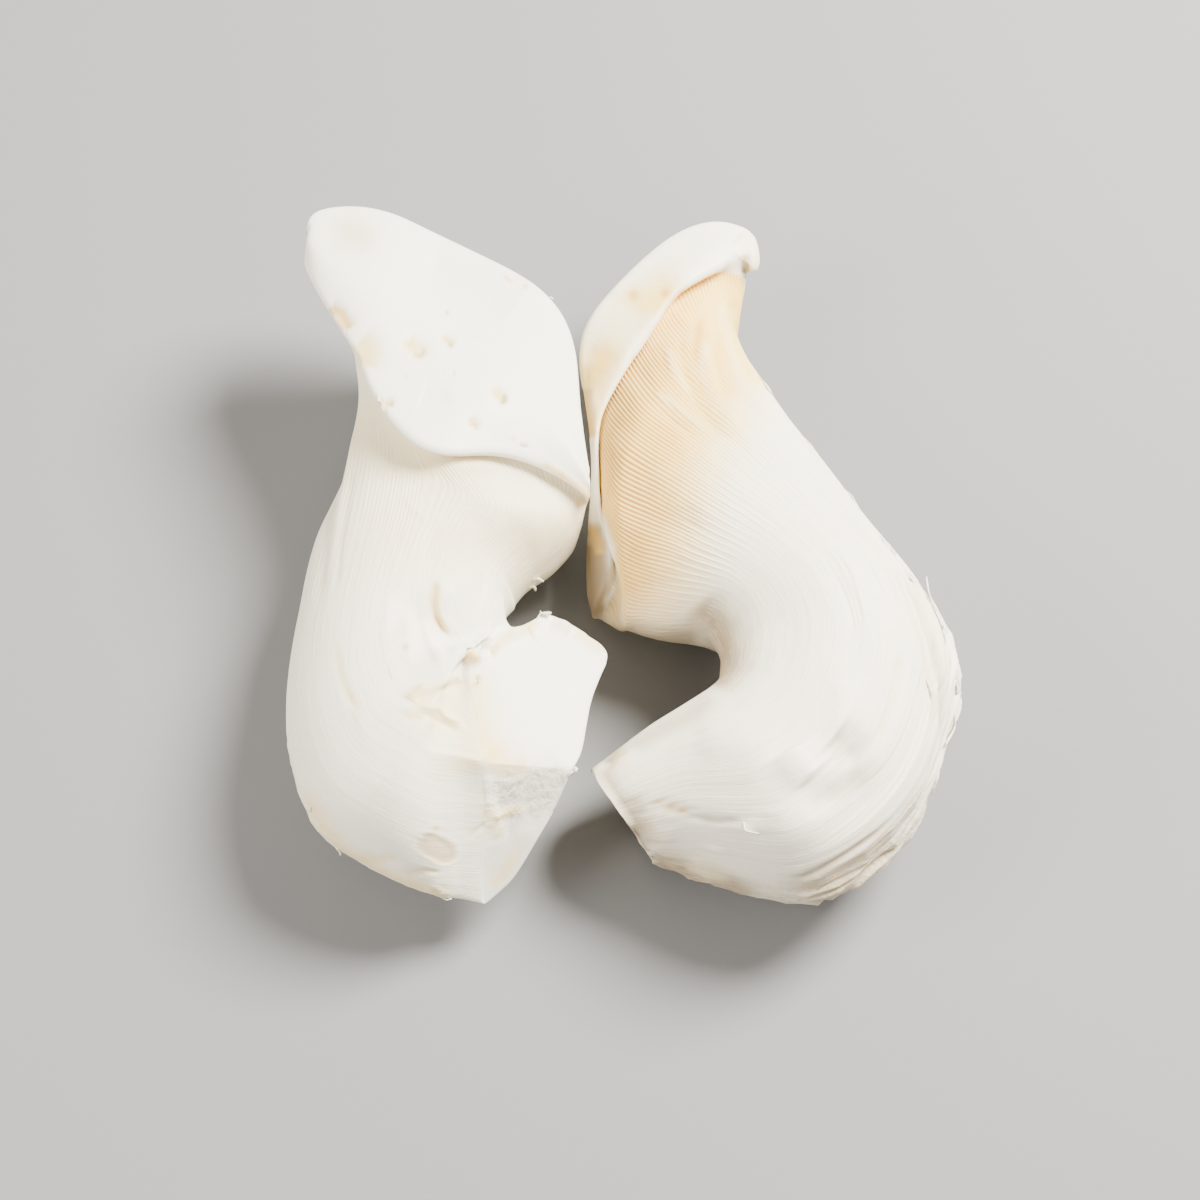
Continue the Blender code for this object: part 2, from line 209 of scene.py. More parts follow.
def cap_rings(mushroom, belly, angles):
    """Rings from the throat under the lip, round the lip's edge, over the crest and behind it."""
    edge, crest = closed_curve(mushroom["edge"], angles), closed_curve(mushroom["crest"], angles)
    middle = np.array(mushroom["far_middle"], float)
    level = np.array([1.0, 1.0, 0.0])
    vertical = np.array([0.0, 0.0, 1.0])
    outward = unit(crest - edge)
    up = unit(vertical - outward[:, 2:] * outward)
    inward = unit((middle - crest) * level)
    names = ("lip", "gap", "groove", "swell", "drop", "tuck")
    lip, gap, groove, swell, drop, tuck = (read_ring(mushroom[name], angles) for name in names)
    behind = crest - drop * vertical + tuck * inward
    behind[:, 2] = np.maximum(behind[:, 2], 1.0)
    rings = [edge - (lip + gap * down) * up + groove * deep * outward
             for down, deep in ((0.9, 0.6), (0.5, 1.0), (0.05, 0.6))]
    rings.insert(0, belly + (rings[0] - belly) * THROAT)
    for down, out in ((1.0, 0.3), (0.45, -0.15), (0.0, 0.3)):
        rings.append(edge - down * lip * up + out * lip * outward)
    for share in (0.35, 0.7):
        rings.append(edge + (crest - edge) * share + up * swell * np.sin(np.pi * share))
    rings += [crest, behind]
    front = arc_share(angles, *mushroom["lip_arc"])[:, None]
    for count, ring in enumerate(rings, 1):
        plain = belly + (behind - belly) * (0.25 + 0.75 * count / len(rings))
        rings[count - 1] = front * ring + (1 - front) * plain
    last = rings[-1]
    for share in (0.4, 0.75):
        ring = last + (middle - last) * share
        ring[:, 2] = middle[2] + (last[:, 2] - middle[2]) * (1 - share) ** 2
        rings.append(ring)
    return rings


def point_between(p, knots, t):
    """The centripetal curve through four rings, read between the second and the third."""
    a = [((knots[j + 1] - t) * p[j] + (t - knots[j]) * p[j + 1]) / (knots[j + 1] - knots[j])
         for j in range(3)]
    b = [((knots[j + 2] - t) * a[j] + (t - knots[j]) * a[j + 1]) / (knots[j + 2] - knots[j])
         for j in range(2)]
    return ((knots[2] - t) * b[0] + (t - knots[1]) * b[1]) / (knots[2] - knots[1])


def stretch(rings, rows_between):
    """Rows of points on smooth curves through the rings, and each row's place among the rings."""
    chain = [2 * rings[0] - rings[1]] + list(rings) + [2 * rings[-1] - rings[-2]]
    rows, places = [rings[0]], [0.0]
    for i, count in enumerate(rows_between):
        p = chain[i:i + 4]
        knots = [np.zeros((len(rings[0]), 1))]
        for a, b in zip(p, p[1:]):
            step = np.sqrt(np.linalg.norm(b - a, axis=1))[:, None]
            knots.append(knots[-1] + np.maximum(step, 1e-3))
        for k in range(1, count + 1):
            t = knots[1] + (knots[2] - knots[1]) * k / count
            rows.append(point_between(p, knots, t))
            places.append(i + k / count)
    return np.array(rows), np.array(places)


def column_angles(mushroom):
    """Columns evenly spaced along the cap's edge where there are gills, and wider elsewhere."""
    start, end = np.radians(GILLED_ARC)
    fine = np.linspace(start, end, 721)
    steps = np.diff(closed_curve(mushroom["edge"], fine), axis=0)
    walked = np.append(0.0, np.cumsum(np.linalg.norm(steps, axis=1)))
    gilled = np.interp(np.linspace(0, walked[-1], GILL_COLUMNS + 1), walked, fine)
    plain = np.linspace(end, start + 2 * np.pi, PLAIN_COLUMNS + 1)[1:-1]
    return np.concatenate([gilled, plain])


def outward_normals(rows):
    along = np.gradient(rows, axis=0)
    round_section = np.roll(rows, -1, axis=1) - np.roll(rows, 1, axis=1)
    return unit(np.cross(along, round_section))


def raise_gills(mushroom, rows, places, angles, lip_place, gill_depth):
    """Sink every other column below the ridges, from the stem up into the groove under the lip."""
    start, full = mushroom["gills_from"]
    along = ease(places, start, full) * (1 - ease(places, lip_place - 1, lip_place + 0.5))
    soft = 12
    round_section = arc_share(angles, GILLED_ARC[0] + soft, GILLED_ARC[1] - soft, soft)
    valley = np.arange(len(angles)) % 2
    depth = gill_depth * along[:, None] * (round_section * valley)[None]
    return rows - depth[..., None] * outward_normals(rows)


def furrow_share(plan, line, left, right):
    """1 on a furrow's line, falling to 0 over its reach on either side."""
    share = np.zeros(len(plan))
    for a, b in zip(np.array(line[:-1], float), np.array(line[1:], float)):
        run = b - a
        t = np.clip((plan - a) @ run / (run @ run), 0, 1)
        off = plan - (a + t[:, None] * run)
        reach = np.where(run[0] * off[:, 1] - run[1] * off[:, 0] > 0, left, right)
        share = np.maximum(share, np.exp(-(np.linalg.norm(off, axis=1) / reach) ** 2))
    return share


def carve(mushroom, rows):
    """Furrows in the upper side, and the flat that rests on the table."""
    points = rows.reshape(-1, 3)
    upper = ease(points[:, 2], 15, 25)
    for line, depth, left, right in mushroom["furrows"]:
        points[:, 2] -= depth * upper * furrow_share(points[:, :2], line, left, right)
    points[:, 2] = np.maximum(points[:, 2], 0)
    return points.reshape(rows.shape)


def even_out(mushroom, rows):
    """Draw the points near each tight place towards the middle of their neighbours."""
    for where, reach, rounds in mushroom["evened"]:
        off = np.linalg.norm(rows - np.array(where, float), axis=-1)
        share = 0.5 * (1 - ease(off, reach / 2, reach))[..., None]
        for _ in range(rounds):
            beside = (np.roll(rows, 1, axis=1) + np.roll(rows, -1, axis=1)) / 2
            ahead = rows.copy()
            ahead[1:-1] = (rows[:-2] + rows[2:]) / 2
            rows = rows + share * ((beside + ahead) / 2 - rows)
    return rows


def plain_skin(mushroom, gill_depth):
    """The rows of points of the part's own skin, each row's place and each column's angle."""
    angles = column_angles(mushroom)
    stem = stem_rings(mushroom, angles)
    cap = cap_rings(mushroom, stem[-1], angles)
    pole = np.broadcast_to(np.array(mushroom["far_middle"], float), stem[0].shape)
    rows_between = [2] * len(stem) + [1] * (len(cap) - 1)
    rows, places = stretch(stem + cap + [pole], rows_between)
    rows = raise_gills(mushroom, rows, places, angles, len(stem), gill_depth)
    return even_out(mushroom, carve(mushroom, rows)), places, angles


# A finer skin over the part's own

STEPS_PER_GILL = 4       # columns from one ridge to the next
TABLE_COLUMNS = 72       # columns on the side without gills
CAP_FACE = slice(6, 9)   # the cap's upper side, among the plain rows above the lip
FINE = {                 # gills, fine rows to a plain row of stem, cap and upper side, foot's rings
    "mushroom_left": (96, 4, 3, 18, 30),
    "mushroom_right": (112, 3.6, 5, 7, 14),
}

PICTURE = 1200           # the side of the picture that marks are placed in
AIM = np.array([-3.9, -9.3, 15.0])
ELEVATION, DISTANCE, LENS, SENSOR = math.radians(62), 595.0, 85.0, 36.0
PICTURE_STEP = 4.9       # picture steps in a millimetre of flesh

STEM_RADIUS = 24         # turns degrees round a section into millimetres across the fibres
FOOT_BLEND = (0.85, 1)   # the share of the foot's radius over which its outline joins the flats
FACING = (-0.1, 0.2)     # how squarely a point faces the camera, from unseen to fully seen
HIDDEN = 0.15            # points that face the camera less than this carry no strip
RAGGED_SIZE = 3.0        # between the bumps of a mark's ragged border
LINE_START = (-0.02, 0.12)   # shares of a line's length over which a mark comes up
LINE_END = (0.88, 1.02)      # and goes down


def camera_axes():
    """The directions towards the camera and up the picture, and where the camera is."""
    back = np.array([0.0, -math.cos(ELEVATION), math.sin(ELEVATION)])
    over = np.array([0.0, math.sin(ELEVATION), math.cos(ELEVATION)])
    return back, over, AIM + DISTANCE * back


def picture_places(points):
    """Where points in millimetres are in the picture."""
    back, over, eye = camera_axes()
    offset = points - eye
    scale = PICTURE * LENS / SENSOR / -(offset @ back)
    across, down = scale * offset[..., 0], -scale * (offset @ over)
    return PICTURE / 2 + np.stack([across, down], axis=-1)


def lattice_noise(points, size, seed):
    """Smooth noise from -1 to 1 at points of two or three coordinates, its features that size."""
    points = np.asarray(points, float) / np.asarray(size, float)
    cells = 32
    rng = np.random.default_rng(seed)
    table = rng.uniform(-1, 1, (cells,) * points.shape[-1])
    low = np.floor(points).astype(int)
    t = points - low
    t = t * t * (3 - 2 * t)
    total = np.zeros(points.shape[:-1])
    for corner in np.ndindex(*(2,) * points.shape[-1]):
        weight = np.ones(points.shape[:-1])
        for axis, step in enumerate(corner):
            weight = weight * (t[..., axis] if step else 1 - t[..., axis])
        index = tuple((low[..., axis] + step) % cells for axis, step in enumerate(corner))
        total += weight * table[index]
    return total


def layered_noise(points, size, seed, layers=3):
    total, scale, share = 0, 1.0, 0.0
    for layer in range(layers):
        total = total + scale * lattice_noise(points, np.asarray(size, float) / 2 ** layer, seed + layer)
        share += scale
        scale *= 0.5
    return total / share


def cubic(a, b, c, d, t):
    """The smooth curve through four values, read between b and c."""
    return 0.5 * (2 * b + (c - a) * t + (2 * a - 5 * b + 4 * c - d) * t ** 2
                  + (3 * b - a - 3 * c + d) * t ** 3)


def finer_rows(grid, at):
    """Rows of a grid read at fractional places."""
    ends = np.concatenate([[2 * grid[0] - grid[1]], grid, [2 * grid[-1] - grid[-2]]])
    low = np.clip(np.floor(at).astype(int), 0, len(grid) - 2)
    t = (at - low).reshape((-1,) + (1,) * (grid.ndim - 1))
    return cubic(ends[low], ends[low + 1], ends[low + 2], ends[low + 3], t)


def finer_columns(grid, at):
    """Columns of a closed grid read at fractional places."""
    count = grid.shape[1]
    low = np.floor(at).astype(int)
    t = (at - low).reshape((1, -1) + (1,) * (grid.ndim - 2))
    return cubic(grid[:, (low - 1) % count], grid[:, low % count],
                 grid[:, (low + 1) % count], grid[:, (low + 2) % count], t)


def near_line(points, line):
    """Distance from points to a line through the listed places, and how far along it they are."""
    line = np.array(line, float)
    if len(line) == 1:
        return np.linalg.norm(points - line[0], axis=-1), np.full(points.shape[:-1], 0.5)
    lengths = np.linalg.norm(np.diff(line, axis=0), axis=1)
    best = np.full(points.shape[:-1], 1e9)
    place = np.zeros(points.shape[:-1])
    walked = 0.0
    for a, b, length in zip(line[:-1], line[1:], lengths):
        run = b - a
        t = np.clip((points - a) @ run / (run @ run), 0, 1)
        off = np.linalg.norm(points - (a + t[..., None] * run), axis=-1)
        closer = off < best
        best = np.where(closer, off, best)
        place = np.where(closer, (walked + t * length) / lengths.sum(), place)
        walked += length
    return best, place


class Skin:
    """A fine grid over one mushroom, with what each point needs to know about its place."""

    def __init__(self, mushroom, shift):
        self.mushroom = mushroom
        self.gills, stem_steps, cap_steps, face_steps, foot_rings = FINE[mushroom["name"]]
        plain, places, angles = plain_skin(mushroom, 0.0)
        pole = np.broadcast_to(np.array(mushroom["far_middle"], float), plain[:1].shape)
        plain = np.concatenate([plain, pole])
        places = np.append(places, places[-1] + 1)
        self.lip_place = len(stem_rings(mushroom, angles))
        lip_row = int(np.searchsorted(places, self.lip_place))
        stem_at = np.linspace(0, lip_row, int(lip_row * stem_steps) + 1)
        steps = np.full(len(plain) - 1 - lip_row, cap_steps)
        steps[CAP_FACE] = face_steps
        cap_at = np.concatenate([lip_row + row + np.arange(1, count + 1) / count
                                 for row, count in enumerate(steps)])
        row_at = np.concatenate([stem_at, cap_at])[:-1]
        gilled = np.linspace(0, GILL_COLUMNS, self.gills * STEPS_PER_GILL + 1)
        table = np.linspace(GILL_COLUMNS, len(angles), TABLE_COLUMNS + 1)[1:-1]
        column_at = np.concatenate([gilled, table])
        rows = finer_columns(finer_rows(plain, row_at), column_at)
        middle = np.array(mushroom.get("cut_middle", rows[0].mean(axis=0)), float)
        inner = (np.arange(1, foot_rings + 1) / (foot_rings + 0.15)) ** 0.8
        foot = middle + (rows[0] - middle) * inner[:, None, None]
        if "flats" in mushroom:
            heights = flat_height(mushroom["flats"], foot.reshape(-1, 3)).reshape(foot.shape[:2])
            edge = ease(inner, *FOOT_BLEND)[:, None]
            foot[..., 2] = foot[..., 2] * edge + heights * (1 - edge)
            middle[2] = flat_height(mushroom["flats"], middle[None])[0]
        self.points = np.concatenate([foot, rows]) - shift
        self.ends = (middle - shift, pole[0, 0] - shift)
        self.shape = self.points.shape[:2]
        row_places = np.interp(row_at, np.arange(len(places)), places)
        self.place = self.spread(np.concatenate([np.zeros(foot_rings), row_places]))
        self.foot = self.spread(np.append(np.ones(foot_rings), np.zeros(len(rows))))
        wound = np.append(angles, angles[0] + 2 * np.pi)
        angle = np.degrees(np.interp(column_at, np.arange(len(wound)), wound))
        self.angle = np.repeat(angle[None], self.shape[0], axis=0)
        walked = np.linalg.norm(np.diff(self.points, axis=0), axis=2).mean(axis=1)
        along = np.append(0, np.cumsum(walked))
        self.along = self.spread(along - along[foot_rings])
        lip_along = np.interp(self.lip_place, row_places, self.along[foot_rings:, 0])
        self.to_lip = lip_along - self.along
        self.across = np.radians(self.angle) * STEM_RADIUS
        self.cap = ease(self.place, self.lip_place + 2.5, self.lip_place + 3.5)
        self.stem = (1 - self.cap) * (1 - self.foot)
        self.look()
        self.tint = np.ones(self.shape + (3,)) * np.array(WHITE)
        self.fibrous = self.stem.copy()
        self.spongy = np.zeros(self.shape)
        self.lift = np.zeros(self.shape)

    def look(self):
        """Where the points are in the picture, and how far they face it."""
        back, over, eye = camera_axes()
        self.seen = picture_places(self.points)
        self.facing = ease((self.normals() * unit(eye - self.points)).sum(axis=-1), *FACING)

    def spread(self, values):
        return np.repeat(values[:, None], self.shape[1], axis=1)

    def arc(self, start, end, soft):
        return arc_share(np.radians(self.angle), start, end, soft)

    def normals(self):
        return outward_normals(self.points)

    def flow(self):
        """Across and along the fibres, in millimetres."""
        return np.stack([self.across, self.along], axis=-1)

    def off_line(self, line):
        """How far the points are from a line drawn in the picture, in picture steps."""
        return near_line(self.seen, line)[0]

    def seen_share(self, line, reach, ragged=0.0, seed=1, side=False):
        """1 on a line drawn in the picture, falling off over reach millimetres on either side."""
        off, place = near_line(self.seen, line)
        if ragged:
            off = off * (1 + ragged * layered_noise(self.points, RAGGED_SIZE, seed))
        share = np.exp(-(off / (reach * PICTURE_STEP)) ** 2) * (1 if side else self.facing)
        if len(line) > 2:
            share = share * ease(place, *LINE_START) * (1 - ease(place, *LINE_END))
        return share

    def paint(self, share, colour):
        self.tint += np.clip(share, 0, 1)[..., None] * (np.array(colour) - self.tint)

    def mark(self, marks):
        """Marks: line in the picture, reach and rise in millimetres, colour, its share, where.

        On the side of a mushroom a mark isn't weakened where the skin turns from the camera.
        """
        for number, (line, reach, rise, colour, share, where) in enumerate(marks):
            layer = {"stem": self.stem, "cap": self.cap, "cut": self.foot}.get(where, 1.0)
            near = self.seen_share(line, reach, 0.3 if colour else 0.0, number, where == "side") * layer
            self.lift += rise * near
            if colour:
                self.paint(share * near, colour)

    def shift_by(self, share, way):
        self.points = self.points + share[..., None] * np.array(way)

    def smooth_along(self, place, reach, rounds, share):
        """Draw the rows near a place towards the middle of the rows on either side."""
        near = np.clip(1 - np.abs(self.place - place) / reach, 0, 1)
        weight = (0.5 * ease(near, 0, 0.6) * share)[1:-1, :, None]
        for _ in range(rounds):
            between = (self.points[:-2] + self.points[2:]) / 2
            self.points[1:-1] += weight * (between - self.points[1:-1])

    def relax(self, line, reach, rounds):
        """Draw the points near a line in the picture towards the middle of their neighbours."""
        weight = (0.5 * self.seen_share(line, reach, side=True))[1:-1, :, None]
        for _ in range(rounds):
            beside = (np.roll(self.points, 1, axis=1) + np.roll(self.points, -1, axis=1))[1:-1]
            ahead = self.points[:-2] + self.points[2:]
            self.points[1:-1] += weight * ((beside + ahead) / 4 - self.points[1:-1])

    def settle(self):
        """Raise the points by what has been added up."""
        self.points = self.points + self.lift[..., None] * self.normals()

    def at(self, place):
        """The visible point of the skin nearest to a place in the picture, and its normal."""
        off = np.linalg.norm(self.seen - np.array(place, float), axis=-1)
        off += PICTURE * (self.facing < HIDDEN)
        found = np.unravel_index(np.argmin(off), off.shape)
        return self.points[found], self.normals()[found]


GILL_WANDER = 2.4                        # columns by which the gills wander to either side
GILL_REACH = (200.0, 36.0, 52.0, 36.0)   # how far below the lip every four gills in turn reach
REACH_SPREAD = 5.0                       # and by how much that varies
GILL_FADE = 7.0                          # the length over which a short gill sinks away


def gill_relief(skin, depth, fade_start, fade_end, arc, uneven):
    """How far each point sinks between the gills, and how deep in a valley it is, from 0 to 1."""
    wander = GILL_WANDER * lattice_noise(skin.flow(), (5.0, 11.0), 23)
    phase = (np.arange(skin.shape[1]) + wander) / STEPS_PER_GILL
    number = np.floor(phase).clip(0, skin.gills).astype(int)
    valley = 0.5 - 0.5 * np.cos(2 * np.pi * phase)
    valley[:, skin.gills * STEPS_PER_GILL:] = 0
    in_turn = (number + (phase - number > 0.5)) % len(GILL_REACH)
    spread = np.random.default_rng(11).uniform(-REACH_SPREAD, REACH_SPREAD, skin.gills + 1)[number]
    reach = np.array(GILL_REACH)[in_turn] + spread
    ended = ease(skin.to_lip, 0, 1) * ((skin.to_lip - reach + 4) / GILL_FADE).clip(0, 1)
    sunk = valley + (1 - valley) * ended * 0.8
    strong = 1 - ease(skin.to_lip, fade_start, fade_end)
    up_to_lip = 1 - ease(skin.place, skin.lip_place + 2.4, skin.lip_place + 3.6)
    share = strong * up_to_lip * skin.arc(arc[0], arc[1], 12)
    varied = 1 + uneven * lattice_noise(skin.flow(), (3.0, 14.0), 21)
    return depth * share * sunk * varied, sunk * share


# What the photograph shows on each mushroom

WHITE = (0.89, 0.84, 0.70)
COOL = (0.91, 0.88, 0.77)
BRIGHT = (0.94, 0.92, 0.83)
PALE_CREAM = (0.87, 0.75, 0.45)
CREAM = (0.85, 0.63, 0.19)
HONEY = (0.72, 0.46, 0.10)
AMBER = (0.66, 0.37, 0.05)
TAN = (0.36, 0.27, 0.155)
BROWN = (0.17, 0.12, 0.07)
GREY = (0.52, 0.47, 0.38)
ROSE = (0.56, 0.42, 0.23)
GILL_CREAM = (0.98, 0.66, 0.14)
# the gills' amber, deepened as painted shade between the deep gill blades
GILL_AMBER_AND_SHADE = (0.60, 0.28, 0.02)

# The order of the marks matters: a mark's number seeds its ragged border.
RIGHT_MARKS = [
    # the lip's raised inner line, the hollow behind it, and its bruises
    ([(740, 262), (716, 269), (694, 282), (677, 290), (656, 318), (628, 348), (613, 395), (601, 450),
      (596, 500)], 1.3, 0.4, BRIGHT, 0.8, "cap"),
    ([(662, 290), (640, 303)], 4.6, -0.7, CREAM, 0.75, "cap"),
    ([(625, 322), (612, 345)], 4.4, -0.5, PALE_CREAM, 1.0, "cap"),
    ([(600, 362), (594, 378)], 4.0, -0.5, CREAM, 0.8, "cap"),
    ([(661, 293), (652, 301)], 2.6, -0.15, CREAM, 1.0, "cap"),
    ([(636, 296), (630, 293)], 1.5, 0.1, CREAM, 0.7, "cap"),
    ([(664, 291)], 1.1, -0.2, AMBER, 0.9, "cap"),
    ([(632, 293)], 1.0, -0.15, AMBER, 0.8, "cap"),
    ([(645, 306)], 1.4, 0.1, CREAM, 0.6, "cap"),
    ([(603, 356), (598, 370)], 2.8, -0.1, HONEY, 0.7, "cap"),
    ([(590, 374), (587, 380)], 1.6, -0.1, CREAM, 0.8, "cap"),
    ([(584, 386), (582, 400), (586, 420), (592, 440)], 1.8, -0.2, HONEY, 0.9, "side"),
    ([(600, 395), (596, 420)], 1.8, -0.2, CREAM, 0.6, "side"),
    # the hook: rolled over, with painted shade in its inside corner
    ([(738, 236), (750, 247), (756, 262), (756, 274)], 1.5, 0.7, PALE_CREAM, 0.4, "side"),
    ([(745, 255), (747, 264), (746, 274)], 0.8, -0.6, TAN, 0.9, "side"),
    # the left rim below: a thin white line, with painted shade on its outer side
    ([(592, 520), (597, 548), (600, 575), (598, 602), (592, 626)], 3.4, -0.2, TAN, 1.0, "side"),
    ([(587, 540), (590, 586), (590, 620)], 2.4, 0.0, BROWN, 0.85, "side"),
    ([(588, 524), (596, 538), (600, 556)], 1.3, 0.1, HONEY, 0.6, "side"),
    ([(598, 506), (606, 530), (611, 548), (613, 570), (611, 590), (603, 608)],
     0.6, 0.4, BRIGHT, 1.0, "side"),
    # folds between gills near the hook
    ([(735, 280), (715, 300), (695, 330)], 8.0, 0.0, GILL_CREAM, 0.6, "stem"),
    ([(735, 300), (742, 345), (755, 390)], 6.0, 0.0, GILL_CREAM, 0.6, "stem"),
    ([(700, 314), (696, 350), (703, 385), (716, 405)], 1.0, -0.6, GILL_AMBER_AND_SHADE, 0.5, "stem"),
    ([(706, 335), (701, 372), (714, 402), (738, 428)], 1.0, 0.5, PALE_CREAM, 0.6, "stem"),
    ([(716, 322), (714, 360), (728, 398)], 0.9, -0.6, CREAM, 0.6, "stem"),
    ([(688, 350), (685, 380), (700, 408), (724, 436)], 1.0, -0.6, CREAM, 0.6, "stem"),
    ([(668, 346), (673, 372), (692, 396)], 0.8, 0.45, PALE_CREAM, 0.5, "stem"),
    ([(680, 336), (680, 366), (696, 390)], 0.8, -0.4, CREAM, 0.5, "stem"),
    ([(655, 392), (674, 404), (702, 428)], 0.7, 0.45, PALE_CREAM, 0.5, "stem"),
    ([(650, 404), (672, 418), (694, 436)], 0.7, -0.4, CREAM, 0.5, "stem"),
    ([(722, 298), (728, 340), (740, 380), (760, 414)], 1.4, 0.4, PALE_CREAM, 0.5, "stem"),
    ([(733, 300), (737, 340), (752, 385)], 1.2, -0.5, CREAM, 0.5, "stem"),
    ([(708, 392), (720, 412), (742, 438)], 2.2, 0.2, CREAM, 0.5, "stem"),
    # body: painted shade in the throat of the bend, under the gills' lower edge and along the lower
    # side, hump and hollow near the outer bend, small creases
    ([(696, 600), (720, 628), (726, 662), (714, 692)], 4.2, 0.0, TAN, 0.95, "side"),
    ([(712, 630), (722, 655)], 3.0, 0.0, BROWN, 0.3, "side"),
    ([(640, 862), (700, 876), (745, 892)], 2.0, 0.0, TAN, 0.6, "side"),
    ([(640, 800), (700, 850), (780, 870), (840, 850)], 9.0, 0.0, GREY, 0.25, "side"),
    ([(604, 630), (650, 636), (700, 638)], 2.8, 0.0, TAN, 0.7, "side"),
    ([(630, 746), (690, 715), (716, 696)], 2.0, 0.0, TAN, 0.5, "side"),
    # painted shade in the hollows and painted highlight on the humps
    ([(830, 740), (848, 752), (864, 748)], 3.4, -2.0, GREY, 0.5, "stem"),
    ([(814, 778), (798, 764), (790, 748)], 3.6, 2.2, BRIGHT, 0.5, "stem"),
    ([(812, 804), (845, 792), (872, 770)], 3.4, -1.5, GREY, 0.5, "stem"),
    ([(770, 812), (800, 826), (835, 820)], 5.0, 0.9, BRIGHT, 0.3, "stem"),
    ([(700, 745), (740, 740), (775, 755)], 5.0, 0.8, BRIGHT, 0.2, "stem"),
    ([(875, 745), (892, 700), (898, 655)], 1.1, -0.5, PALE_CREAM, 0.4, "stem"),
    ([(843, 676), (842, 710), (838, 735)], 2.6, 0.7, None, 0, "stem"),
    ([(655, 800), (672, 808), (692, 814)], 0.6, -0.7, HONEY, 0.8, "stem"),
    ([(692, 814), (715, 822), (742, 818)], 0.7, -0.6, TAN, 0.35, "stem"),
    ([(740, 818), (745, 827), (756, 835)], 0.45, 0.6, BRIGHT, 0.6, "stem"),
    ([(706, 846), (718, 850), (724, 842)], 0.6, 0.45, BRIGHT, 0.5, "stem"),
    ([(640, 815), (655, 835), (668, 842)], 1.8, 0.8, PALE_CREAM, 0.5, "stem"),
    # painted shade low on the left of the body, along a shallow groove
    ([(628, 796), (640, 822), (652, 850)], 2.4, -0.5, TAN, 0.6, "stem"),
    # the cut end: a small bevel at the tip painted darker as shade, then painted shade along its lower
    # edge
    ([(602, 762), (615, 752), (622, 758)], 1.8, -0.9, TAN, 0.8, "stem"),
    ([(596, 768), (610, 788), (624, 812), (640, 842)], 2.2, -0.3, TAN, 0.8, "side"),
    ([(612, 746), (624, 760), (627, 778)], 0.8, 0.6, PALE_CREAM, 0.6, "stem"),
    # painted shade in tan along the lower edge, a rose band along the lower right edge, and the step
    # above the torn rim
    ([(648, 858), (690, 876), (725, 890), (760, 898)], 3.2, 0.0, TAN, 0.8, "side"),
    ([(690, 860), (705, 872), (722, 880)], 2.0, 0.3, PALE_CREAM, 0.6, "stem"),
    ([(800, 893), (835, 878), (862, 858), (888, 832)], 3.0, 0.0, ROSE, 0.6, "side"),
    ([(786, 884), (820, 870), (850, 850), (880, 826)], 0.6, -0.8, TAN, 0.5, "stem"),
    # the peeled rim on the right
    ([(903, 572), (918, 606), (931, 645), (938, 690), (939, 730), (926, 775)],
     0.5, -0.9, TAN, 0.55, "stem"),
    ([(892, 566), (908, 602), (921, 645), (929, 690), (929, 735)], 0.5, -0.6, HONEY, 0.35, "stem"),
    ([(907, 576), (922, 608), (935, 645), (942, 690)], 0.7, 0.6, PALE_CREAM, 0.5, "stem"),
]

